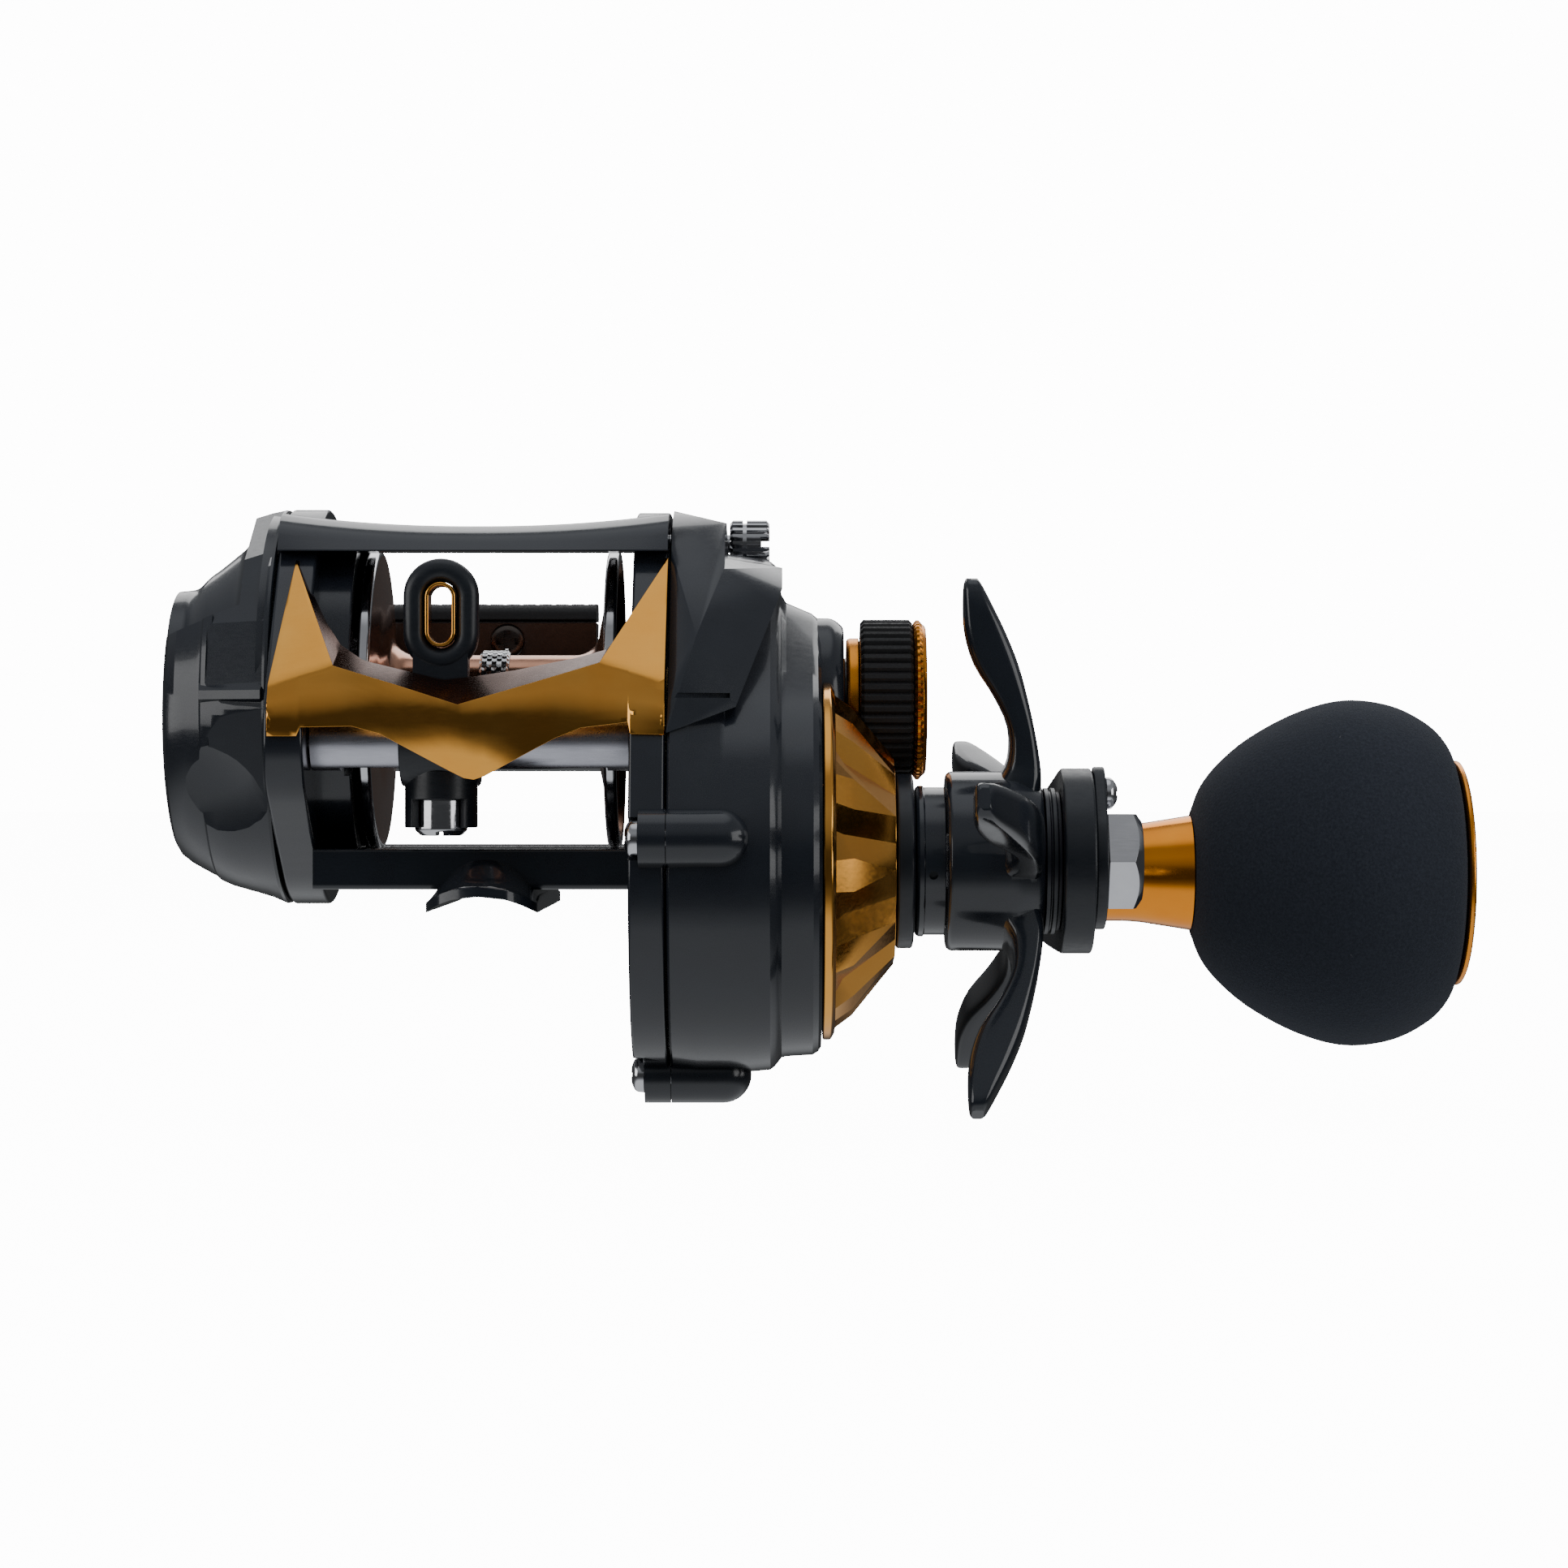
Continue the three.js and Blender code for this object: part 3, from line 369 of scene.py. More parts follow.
def start_material(name, color, metallic, roughness):
    material = bpy.data.materials.new(name)
    material.use_nodes = True
    nodes = material.node_tree.nodes
    shader = nodes["Principled BSDF"]
    shader.inputs["Base Color"].default_value = (*color, 1)
    shader.inputs["Metallic"].default_value = metallic
    shader.inputs["Roughness"].default_value = roughness
    material.diffuse_color = (*color, 1)
    return material, shader


def link(material, source, target):
    material.node_tree.links.new(source, target)


def noise(material, scale, detail=4.0, stretch=(1, 1, 1), kind="ShaderNodeTexNoise"):
    """A texture in the object's own space. Scale is in features per metre."""
    nodes = material.node_tree.nodes
    place = nodes.new("ShaderNodeTexCoord")
    mapping = nodes.new("ShaderNodeMapping")
    mapping.inputs["Scale"].default_value = stretch
    link(material, place.outputs["Object"], mapping.inputs["Vector"])
    texture = nodes.new(kind)
    texture.inputs["Scale"].default_value = scale
    if kind == "ShaderNodeTexNoise":
        texture.inputs["Detail"].default_value = detail
    link(material, mapping.outputs["Vector"], texture.inputs["Vector"])
    return texture


def ramp(material, source, low, high, start=0.0, end=1.0):
    """Maps a texture's value between two numbers or two colours."""
    nodes = material.node_tree.nodes
    if isinstance(low, tuple):
        node = nodes.new("ShaderNodeValToRGB")
        node.color_ramp.elements[0].position = start
        node.color_ramp.elements[1].position = end
        node.color_ramp.elements[0].color = (*low, 1)
        node.color_ramp.elements[1].color = (*high, 1)
        link(material, source, node.inputs["Fac"])
        return node.outputs["Color"]
    node = nodes.new("ShaderNodeMapRange")
    node.inputs["From Min"].default_value = start
    node.inputs["From Max"].default_value = end
    node.inputs["To Min"].default_value = low
    node.inputs["To Max"].default_value = high
    link(material, source, node.inputs["Value"])
    return node.outputs["Result"]


def bump(material, shader, height, distance, strength=1.0, base=None):
    node = material.node_tree.nodes.new("ShaderNodeBump")
    node.inputs["Distance"].default_value = distance * MM
    node.inputs["Strength"].default_value = strength
    link(material, height, node.inputs["Height"])
    if base:
        link(material, base, node.inputs["Normal"])
    link(material, node.outputs["Normal"], shader.inputs["Normal"])
    return node.outputs["Normal"]


def drive(material, shader, name, texture, low, high, start=0.3, end=0.75):
    """Lets a texture change one of the shader's inputs."""
    link(material, ramp(material, texture.outputs["Fac"], low, high, start, end), shader.inputs[name])


def painted(name, color, tint, rough, coat=0.6, coat_rough=0.08, orange_peel=0.02):
    """Sprayed paint: slightly mottled colour, faint orange peel, fine scuffs in the gloss."""
    material, shader = start_material(name, color, 0.0, rough[0])
    cloud = noise(material, 220, 5)
    drive(material, shader, "Base Color", cloud, color, tint)
    scuff = noise(material, 900, 6, (1, 1, 4))
    drive(material, shader, "Roughness", scuff, *rough, 0.35, 0.75)
    peel = noise(material, 1600, 2)
    bump(material, shader, peel.outputs["Fac"], orange_peel)
    shader.inputs["Coat Weight"].default_value = coat
    shader.inputs["Coat Roughness"].default_value = coat_rough
    return material


def metal(name, color, tint, rough, grain=0.01, stretch=(1, 12, 12), scale=500):
    """Turned or brushed metal: fine lines, small changes of colour and polish."""
    material, shader = start_material(name, color, 1.0, rough[0])
    cloud = noise(material, 160, 4)
    drive(material, shader, "Base Color", cloud, color, tint)
    lines = noise(material, scale, 6, stretch)
    drive(material, shader, "Roughness", lines, *rough, 0.3, 0.7)
    bump(material, shader, lines.outputs["Fac"], grain)
    return material


def foam_material():
    """Closed-cell foam: very matt, a fine open grain and a few pale specks of dust."""
    dark = (0.028, 0.033, 0.045)
    material, shader = start_material("eva_foam", dark, 0.0, 0.95)
    cells = noise(material, 2600, 3)
    dust = noise(material, 1300, 2)
    nodes = material.node_tree.nodes
    grain = ramp(material, cells.outputs["Fac"], (0.020, 0.024, 0.034), (0.036, 0.042, 0.056), 0.3, 0.75)
    specks = ramp(material, dust.outputs["Fac"], 0.0, 1.0, 0.79, 0.82)
    mix = nodes.new("ShaderNodeMix")
    mix.data_type = "RGBA"
    link(material, specks, mix.inputs["Factor"])
    link(material, grain, mix.inputs["A"])
    mix.inputs["B"].default_value = (0.10, 0.10, 0.11, 1)
    link(material, mix.outputs["Result"], shader.inputs["Base Color"])
    drive(material, shader, "Roughness", cells, 0.85, 1.0, 0.3, 0.7)
    fine = bump(material, shader, cells.outputs["Fac"], 0.12, 0.9)
    lumps = noise(material, 320, 3)
    bump(material, shader, lumps.outputs["Fac"], 0.15, 0.5, fine)
    shader.inputs["Specular IOR Level"].default_value = 0.2
    shader.inputs["Sheen Weight"].default_value = 0.03
    shader.inputs["Sheen Roughness"].default_value = 0.6
    return material


def grained(name, color, low, high, roughness, rough, scale, grain, strength):
    """Plastic or rubber with a fine moulded grain."""
    material, shader = start_material(name, color, 0.0, roughness)
    texture = noise(material, scale, 3)
    drive(material, shader, "Base Color", texture, low, high)
    drive(material, shader, "Roughness", texture, *rough, 0.3, 0.7)
    bump(material, shader, texture.outputs["Fac"], grain, strength)
    return material


def shade(color, factor):
    return tuple(min(1, c * factor) for c in color)


def rubber(name, color):
    return grained(name, color, color, shade(color, 1.7), 0.6, (0.5, 0.75), 3000, 0.03, 0.7)


def polymer(name, color):
    return grained(name, color, shade(color, 0.8), color, 0.45, (0.4, 0.6), 1500, 0.01, 0.6)


CASTING = painted("black_casting", (0.0130, 0.0160, 0.0225), (0.0165, 0.0200, 0.0275),
                  (0.18, 0.25), 0.35, 0.06, 0.003)
SATIN = painted("satin_black", (0.0105, 0.0130, 0.0180), (0.0135, 0.0165, 0.0220),
                (0.32, 0.44), 0.05, 0.2, 0.005)
GLOSS = painted("gloss_black", (0.0140, 0.0175, 0.0245), (0.0170, 0.0210, 0.0290),
                (0.14, 0.22), 0.4, 0.05, 0.003)
GOLD = metal("gold_anodised", (0.96, 0.43, 0.075), (1.0, 0.49, 0.10),
             (0.12, 0.18), 0.0010, (1, 6, 6), 400)
ORANGE = metal("orange_anodised", (0.95, 0.31, 0.025), (1.0, 0.36, 0.035),
               (0.12, 0.18), 0.0010, (1, 6, 6), 400)
SPRAYED_GOLD = metal("gold_satin", (0.93, 0.33, 0.035), (0.99, 0.38, 0.05),
                     (0.22, 0.30), 0.003, (1, 1, 1), 1200)
ROSE = metal("rose_anodised", (0.60, 0.31, 0.20), (0.70, 0.37, 0.25), (0.14, 0.24), 0.003, (1, 8, 8), 500)
CHROME = metal("chrome_trim", (0.62, 0.62, 0.64), (0.72, 0.72, 0.74), (0.08, 0.18), 0.002, (1, 6, 6), 500)
STEEL = metal("machined_steel", (0.42, 0.42, 0.44), (0.52, 0.52, 0.54), (0.22, 0.38), 0.004)
GREY_METAL = metal("satin_aluminium", (0.52, 0.52, 0.57), (0.60, 0.60, 0.65), (0.26, 0.36), 0.002)
DARK_METAL = metal("browned_steel", (0.13, 0.11, 0.10), (0.17, 0.145, 0.13), (0.24, 0.36), 0.003)
BRASS = metal("machined_brass", (0.62, 0.42, 0.16), (0.70, 0.50, 0.20), (0.22, 0.36), 0.004)
# A much darker copy of the gold anodising: painted shade for the bevel faces behind the front cover's ridge.
GOLD_PAINTED_SHADE = metal("gold_painted_shade", (0.105, 0.032, 0.012), (0.135, 0.043, 0.017), (0.24, 0.32), 0.0010)
BRONZE = painted("bronze_brown", (0.050, 0.026, 0.018), (0.070, 0.036, 0.024), (0.32, 0.45), 0.3, 0.2)
CARBON = rubber("carbon_washer", (0.012, 0.012, 0.013))
POLYMER = polymer("moulded_polymer", (0.62, 0.60, 0.54))
MAGNET = metal("magnet_plating", (0.36, 0.36, 0.38), (0.42, 0.42, 0.44), (0.25, 0.35))
PAD = rubber("rubber_pad", (0.010, 0.010, 0.011))
FOAM = foam_material()

BY_SLOT = {
    "black_casting": CASTING, "satin_black": SATIN, "gloss_black": GLOSS, "gold_anodised": GOLD,
    "rose_anodised": ROSE, "chrome_trim": CHROME, "steel": STEEL, "brass": BRASS, "carbon": CARBON,
    "polymer": POLYMER, "magnet": MAGNET, "rubber_pad": PAD, "foam": FOAM,
}
for node, thing in frame["nodes"].items():
    thing.data.materials.clear()
    thing.data.materials.append(BY_SLOT[SLOT_OF[node]])


# ---------------------------------------------------------------- knob


def knob():
    outside = curve_through([
        (94.7, 8.9), (96.2, 12.5), (99.0, 15.9), (103.4, 19.4), (109.8, 22.7), (116.1, 24.3),
        (122.4, 23.6), (127.3, 21.2), (130.0, 18.4), (131.1, 15.2),
    ])
    profile = [(94.6, 7.45), (94.6, 8.4), *outside, (131.0, 14.0), (130.5, 13.4), (130.5, 7.45)]
    grip = lathe("knob_foam", profile, KNOB, FOAM, 160)
    stand_for(smooth(grip, 50), "knob_grip")

    core = [
        (78.6, 4.65), (78.6, 6.2, 0.4), (79.3, 6.8, 0.4), (80.6, 6.8, 0.2), (80.9, 6.45, 0.1),
        (81.4, 6.45, 0.1), (81.7, 6.8, 0.2), (86.4, 6.8, 2.5), (94.45, 8.1, 0.1), (94.45, 7.3, 0.1),
        (130.3, 7.3, 0.1), (130.3, 4.65), (123.8, 4.65), (123.8, 3.4), (82.4, 3.4), (82.4, 4.65),
    ]
    turned("knob_core", "knob_collar", core, KNOB, ORANGE, 128, 0.05)

    cap = [
        (129.3, 0), (129.3, 4.5, 0.1), (131.3, 4.5, 0.1), (131.3, 15.5, 0.2), (131.6, 15.8, 0.2),
        (132.1, 15.8, 0.3), (132.4, 15.2, 0.2), (132.4, 12.2, 0.1), (131.9, 11.8, 0.1),
        (131.9, 11.0, 0.1), (132.3, 10.6, 0.1), (132.3, 4.2, 0.1), (131.9, 3.8, 0.1), (131.9, 0),
    ]
    turned("knob_cap", "knob_end_cap", cap, KNOB, SPRAYED_GOLD, 128, 0.1)

    spindle = [
        (71.0, 0), (71.0, 2.9, 0.3), (71.5, 4.0, 0.5), (72.15, 4.2, 0.1), (72.15, 2.6), (76.5, 2.6),
        (76.5, 4.2, 0.3), (78.3, 4.2, 0.3), (78.3, 3.0), (129.0, 3.0, 0.2), (129.0, 0),
    ]
    turned("knob_spindle", "knob_axle", spindle, KNOB, STEEL, 64, 0.1)


# ---------------------------------------------------------------- handle


def handle():
    ends = [(*MAIN, 11.8), (*KNOB, 8.6)]
    waist = ((MAIN[0] + KNOB[0]) / 2, (MAIN[1] + KNOB[1]) / 2)
    low, high = reach("handle_arm")
    outline = band(ends, 0, 200, waist)
    arm = slab("handle_crank", outline, low.x, high.x, SATIN)
    pocket_ends = [(6.5, 3.2, 4.6), (31.0, 2.0, 3.6)]
    pocket = slab("tool", band(pocket_ends, 0, 120, waist), high.x - 0.7, high.x + 1, None)
    cut(arm, pocket, rod(70, 80, 3.56, MAIN), rod(70, 80, 2.66, KNOB))
    stand_for(bevel(arm, 0.45), "handle_arm")

    screw_at = middle("retainer_screw")
    low, high = reach("nut_retainer")
    outline = band([(*MAIN, 8.7), (*screw_at, 3.4)], 0, 120, MAIN)
    plate = slab("nut_keeper", outline, low.x, high.x, SATIN)
    cut(plate, rod(76, 79, 3.6, MAIN), rod(76, 79, 1.35, screw_at))
    stand_for(bevel(plate, 0.25), "nut_retainer")

    head = [(73.0, 0), (73.0, 1.2), (78.1, 1.2), (78.1, 2.05, 0.2), (78.9, 2.05, 0.5), (79.7, 1.0, 0.5),
            (79.7, 0)]
    screw = lathe("keeper_screw", head, screw_at, CHROME, 48, 0.1)
    stand_for(smooth(cross_recess(screw, screw_at, 79.2, 80, 1.2, 0.25)), "retainer_screw")

    low, high = reach("handle_nut")
    corner = (high.y - low.y) / 2 + 0.1
    hexagon = [polar(MAIN, corner, math.radians(60 * i)) for i in range(6)]
    nut = slab("crank_nut", hexagon, low.x, high.x, CHROME)
    dome = [(78, 0), (78, 6.6), (78.6, 7.2), (81.2, 7.2), (82.75, 5.0), (82.75, 0)]
    keep(nut, lathe("tool", dome, MAIN, None, 96))
    cut(nut, rod(77, 84, 3.05, MAIN))
    stand_for(bevel(nut, 0.12, 2, 20), "handle_nut")

    low, high = reach("handle_spacer")
    spacer = [
        (low.x, 3.6), (low.x, 9.3, 0.1), (low.x + 0.55, 9.3, 0.1), (low.x + 0.65, 8.9, 0.05),
        (low.x + 0.8, 8.9, 0.05), (low.x + 0.9, 9.3, 0.1), (high.x - 0.5, 9.3, 0.1),
        (high.x - 0.4, 8.8, 0.05), (high.x, 8.8, 0.05), (high.x, 3.6),
    ]
    turned("handle_spacer", "crank_washers", spacer, MAIN, SATIN, 96, 0.05)


# ---------------------------------------------------------------- star drag and shaft stack

STAR_ARMS = 5
FIRST_ARM = 5  # degrees that the top arm leans to the front

# How far out, the arm's faces along X there, and half its width
ARM_SECTIONS = [
    (8.0, 63.0, 69.8, 4.6), (10.6, 64.4, 69.9, 4.3), (13.0, 65.6, 69.7, 3.9), (17.0, 65.6, 69.0, 3.6),
    (21.0, 63.8, 68.1, 3.4), (25.0, 61.3, 67.0, 3.2), (29.0, 60.1, 65.4, 2.9), (32.5, 59.9, 63.7, 2.6),
    (35.0, 60.0, 62.4, 2.1), (35.9, 60.3, 61.8, 1.2),
]


def arm_ring(radius, x0, x1, half):
    """A rounded oblong across the arm, in a plane square to it."""
    centre, thick = (x0 + x1) / 2, (x1 - x0) / 2
    ring = []
    for angle in turns(32):
        c, s = math.cos(angle), math.sin(angle)
        x = centre + thick * math.copysign(abs(c) ** 0.45, c)
        y = half * math.copysign(abs(s) ** 0.6, s)
        ring.append((x, y, radius))
    return ring


def star():
    sections = curve_through(ARM_SECTIONS, 3)
    hub = [
        (57.8, 8.6), (57.8, 11.0, 0.2), (58.3, 11.4, 0.3), (66.4, 11.4, 0.8), (68.2, 10.6, 0.8),
        (70.0, 9.6, 0.4), (70.0, 3.7), (65.5, 3.7), (65.5, 8.6),
    ]
    body = lathe("star_wheel", hub, MAIN, GLOSS, 128, 0.1)
    for i in range(STAR_ARMS):
        angle = math.radians(FIRST_ARM + i * 360 / STAR_ARMS)
        rings = []
        for radius, x0, x1, half in sections:
            ring = arm_ring(radius, x0, x1, half)
            rings.append([(
                x, MAIN[0] + y * math.cos(angle) - r * math.sin(angle),
                MAIN[1] + y * math.sin(angle) + r * math.cos(angle),
            ) for x, y, r in ring])
        join(body, make_object("tool", *skin(rings), None))
    cut(body, rod(57, 65.5, 8.6, MAIN))
    stand_for(bevel(body, 0.5, 3, 38), "star_drag")


def shaft_stack():
    cap = [(51.5, 5.2), (51.5, 11.1, 0.3), (53.5, 11.1, 0.3), (53.7, 10.4, 0.2), (53.7, 5.2)]
    turned("bearing_cap", "bezel_collar", cap, MAIN, SATIN, 128, 0.1)
    sleeve = [
        (30, 3.55), (30, 5), (53.9, 5), (53.9, 9.3, 0.2), (54.3, 9.6, 0.1), (54.9, 9.6, 0.1),
        (55.0, 9.4, 0.05), (57.6, 9.4, 0.1), (57.6, 3.55),
    ]
    neck = lathe("drag_neck", sleeve, MAIN, GLOSS, 128, 0.05)
    for turn in (70, 190, 310):
        angle = math.radians(turn)
        y, z = polar(MAIN, 9.4, angle)
        hole = make_object("tool", *skin([[(
            56 + 0.55 * math.cos(a), y + d * math.cos(angle) - 0.55 * math.sin(a) * math.sin(angle),
            z + d * math.sin(angle) + 0.55 * math.sin(a) * math.cos(angle),
        ) for a in np.linspace(0, 2 * math.pi, 16, endpoint=False)] for d in (-0.8, 1)]), None)
        cut(neck, hole)
    stand_for(smooth(neck), "drag_sleeve")


# ---------------------------------------------------------------- gold bezel

BEZEL_PANELS = 12


def bezel():
    """A faceted cone: flat panels that widen to the top, with a V-shaped groove between each two."""
    half = 180 / BEZEL_PANELS

    def spot(x, radius, degrees):
        return (x, *polar(MAIN, radius, math.radians(degrees)))

    points, faces = [], []
    for i in range(BEZEL_PANELS):
        middle_of = 2 * half * i + 4
        start = len(points)
        points += [
            spot(43.5, 21.6, middle_of - half), spot(43.6, 21.3, middle_of - 0.35 * half),
            spot(43.6, 21.3, middle_of + 0.35 * half), spot(43.5, 21.6, middle_of + half),
            spot(45.9, 19.6, middle_of - 0.4 * half), spot(45.9, 19.6, middle_of + 0.4 * half),
            spot(44.6, 19.0, middle_of - half), spot(44.6, 19.0, middle_of + half),
            spot(51.2, 12.75, middle_of - half), spot(51.2, 13.2, middle_of),
            spot(51.2, 12.75, middle_of + half),
            spot(42.6, 21.6, middle_of - half), spot(42.6, 21.6, middle_of + half),
            spot(42.6, 9.7, middle_of - half), spot(42.6, 9.7, middle_of + half),
            spot(51.2, 9.7, middle_of - half), spot(51.2, 9.7, middle_of + half),
        ]
        for corners in ((0, 1, 4, 6), (1, 2, 5, 4), (2, 3, 7, 5), (4, 5, 9), (6, 4, 9, 8), (5, 7, 10, 9),
                        (0, 11, 12, 3, 2, 1), (11, 13, 14, 12), (13, 15, 16, 14), (15, 8, 9, 10, 16)):
            faces.append(tuple(start + c for c in corners))
    cone = make_object("bezel_cone", points, faces, GOLD)
    flange = [(42.15, 9.6), (42.15, 22.7, 0.3), (43.2, 22.7, 0.3), (43.7, 21.8, 0.2), (43.7, 9.6)]
    top = [(50.4, 6.6), (50.4, 12.6, 0.1), (51.3, 12.6, 0.2), (51.3, 6.6)]
    join(cone, lathe("tool", flange, MAIN, None, 128, 0.1), lathe("tool", top, MAIN, None, 64, 0.1))
    cut(cone, rod(40, 54, 11.3, SPOOL, 96))
    stand_for(bevel(cone, 0.14, 2, 16), "gear_bezel")


# ---------------------------------------------------------------- tension knob and takedown screw


def worked_ring(name, place, xs, radius_at, inner, count, material):
    """A ring about an axis along X. Its outside is given by row (of xs) and by step round the axis."""
    rings = [[(x, *polar(place, radius_at(row, i), a)) for i, a in enumerate(turns(count))]
             for row, x in enumerate(xs)]
    rings += [[(x, *polar(place, inner, a)) for a in turns(count)] for x in (xs[-1], xs[0])]
    return make_object(name, *skin(rings, closed=True), material)


def ribbed(name, place, x0, x1, outer, depth, inner, ribs, material, groove=0.3):
    """A ring with flat-topped ribs round it, chamfered at both ends."""
    chamfer = (0.45, 0.0, 0.0, 0.45)
    steps = 10

    def radius_at(row, i):
        from_groove = abs((i % steps) / steps - 0.5) * 2
        wave = max(0.0, 1 - from_groove / groove) ** 0.7
        return outer - depth * wave - chamfer[row]

    xs = (x0, x0 + 0.4, x1 - 0.4, x1)
    return worked_ring(name, place, xs, radius_at, inner, ribs * steps, material)


def tension_knob():
    low, high = reach("tension_grip")
    grip = ribbed("tension_rubber", SPOOL, low.x, high.x, 10.4, 0.45, 7.7, 46, PAD, 0.5)
    stand_for(smooth(grip, 30), "tension_grip")
    body = [
        (51, 0), (51, 5.6), (45.35, 5.6), (45.35, 7.8, 0.2), (45.8, 8.0, 0.1), (46.9, 8.0, 0.1),
        (47.0, 7.6, 0.1), (53.95, 7.6), (53.95, 9.6, 0.1), (55.1, 9.9, 0.1), (55.6, 9.5, 0.3),
        (55.6, 8.2, 0.2), (55.0, 7.8, 0.2), (55.0, 2.6, 0.2), (55.3, 2.2, 0.1), (55.3, 0),
    ]
    piece = lathe("tension_cap", body, SPOOL, SPRAYED_GOLD, 144, 0.1)
    join(piece, ribbed("tool", SPOOL, 53.97, 55.1, 10.35, 0.3, 8.4, 60, None, 0.6))
    stand_for(smooth(piece), "tension_knob")


def takedown():
    low, high = reach("takedown_screw")
    head = ribbed("tool", TAKEDOWN, 30.2, high.x, 3.1, 0.35, 0.02, 20, None, 0.6)
    screw = lathe("thumbscrew", [(low.x, 0), (low.x, 1.2), (31, 1.2), (31, 0)], TAKEDOWN, CHROME, 48)
    join(screw, head)
    y, z = TAKEDOWN
    cut(screw, block(34.3, 36, y - 4, y + 4, z - 0.5, z + 0.5))
    groove = [(31.9, 2.7), (31.9, 4), (32.4, 4), (32.4, 2.7)]
    cut(screw, lathe("tool", groove, TAKEDOWN, None, 64))
    stand_for(smooth(screw, 40), "takedown_screw")


# ---------------------------------------------------------------- handle-side housing

SIDE_X = reach("gear_side_plate")[0].x
NOSE_R = 9.1
BOSS_R = 3.6

# x, drum, disc round the spool, nose, tail and how far back the tail is
HOUSING = [
    (SIDE_X, 26.1, 23.9, 8.8, 10.3, 19.0), (SIDE_X + 0.3, 26.4, 24.2, 9.1, 10.5, 19.0),
    (26.5, 26.7, 23.7, 7.9, 10.0, 18.7), (29.3, 26.7, 22.9, 6.5, 9.4, 18.4),
    (29.9, 26.7, 22.4, 6.4, 9.2, 18.2), (30.1, 26.7, 18.9, 6.2, 8.4, 17.0),
    (33.4, 26.7, 18.4, 4.6, 6.6, 15.0), (35.6, 26.5, 17.9, 3.4, 5.4, 13.4),
    (36.2, 26.0, 17.4, 3.0, 5.0, 13.0), (36.6, 25.5, 16.4, 3.0, 4.6, 12.0),
    (37.0, 24.95, 13.6, 3.0, 4.0, 8.0), (37.6, 24.8, 12.6, 3.0, 4.0, 6.0),
    (40.9, 24.6, 11.2, 3.0, 4.0, 4.0), (41.6, 24.2, 10.6, 3.0, 4.0, 4.0),
    (42.0, 23.6, 9.8, 3.0, 4.0, 4.0),
]


def housing_ring(drum, disc, nose, tail, tail_y, grow=0.0):
    circles = [(*MAIN, drum), (*SPOOL, disc), (*WORM, nose), (tail_y, 24.0, tail)]
    return band(circles, grow)


def capsule(place, x0, x1, radius):
    """A screw boss: a round bar along X with a domed end."""
    profile = [(x0, 0), (x0, radius)]
    profile += [(x1 - radius + radius * math.sin(a), radius * math.cos(a))
                for a in np.linspace(0, math.pi / 2, 10)]
    return lathe("tool", profile, place, None, 48)


def shoulder():
    """The faceted upper cover: a tall part beside the frame and a lower wedge under the thumbscrew."""
    left = []
    for y, z in housing_ring(*HOUSING[1][1:], 0.25):
        if z > 20 and (y < 12 or z > 44):
            left.append((SIDE_X + 0.05, y, z))
    low_front, low_right = (23.0, -33.7, 20.0), (31.4, -30.9, 23.2)
    break_low, break_high = (26.6, -30.6, 32.0), (29.9, -13.5, 46.8)
    tall = hull("tool", left + [
        low_front, break_low, break_high, (29.9, -21.5, 39.5), (29.9, 0, 47.6), (29.9, 8, 44),
        (27.0, -31.0, 23.5), (29.9, 0, 24),
    ])
    wedge = hull("tool", [
        low_front, low_right, break_low, (29.8, -20.6, 40.6), (36.3, -21.8, 36.0), (37.1, -18.8, 38.2),
        (37.1, -12.0, 41.2), (34.2, -8.0, 42.0), (29.8, -12.0, 42.4), (31.4, 4.0, 24.6),
        (37.1, 4.0, 40.0), (24.0, 4.0, 24.0),
    ])
    slot = hull("tool", [
        (x, y, z) for x, y in ((23.7, -34.8), (30.7, -32.4), (23.7, -32.6), (30.7, -30.2))
        for z in (24.3, 24.9)
    ])
    return cut(join(tall, wedge), slot)


def gear_housing():
    body = loft("gear_cover", [(x, housing_ring(*radii)) for x, *radii in HOUSING], CASTING)
    hollow = [(SIDE_X - 1, housing_ring(*HOUSING[0][1:], -1.6))]
    hollow += [(x, housing_ring(*HOUSING[i][1:], -1.6)) for x, i in
               ((22.9, 1), (28.4, 5), (35.0, 8), (36.0, 11), (40.4, 14))]
    boss = [(39, 0), (39, 10.6), (43.6, 10.6, 0.8), (45, 9.4, 0.5), (45, 5.4), (50.5, 5.4), (50.5, 0)]
    front, bottom = middle("side_screw_front"), middle("side_screw_bottom")
    screw_bosses = [capsule(place, SIDE_X, 33.2, BOSS_R) for place in (front, bottom)]
    join(body, lathe("tool", boss, SPOOL, None, 96, 0.2), shoulder(), *screw_bosses)
    cut(body, loft("tool", hollow, None))
    holes = [rod(38, 43, 8.3, MAIN), rod(38, 45.1, 2.2, SPOOL), rod(42.3, 52, 4.2, SPOOL)]
    holes += [rod(20, 30.4, SCREW_BORE, place, 24) for place in (front, bottom)]
    holes.append(rod(20, 36, 3.6, TAKEDOWN, 48))
    cut(body, *holes)
    stand_for(even(body, 24), "gear_side_plate")


def side_screw(node):
    place = middle(node)
    head = [
        (17.95, 0), (18.0, 1.1, 0.3), (18.5, 2.2, 0.5), (19.65, 2.3, 0.1), (19.65, 1.2), (30, 1.2),
        (30, 0),
    ]
    screw = lathe(node + "_head", head, place, CHROME, 48, 0.1)
    stand_for(smooth(cross_recess(screw, place, 17, 18.7, 1.3, 0.3)), node)


# ---------------------------------------------------------------- frame

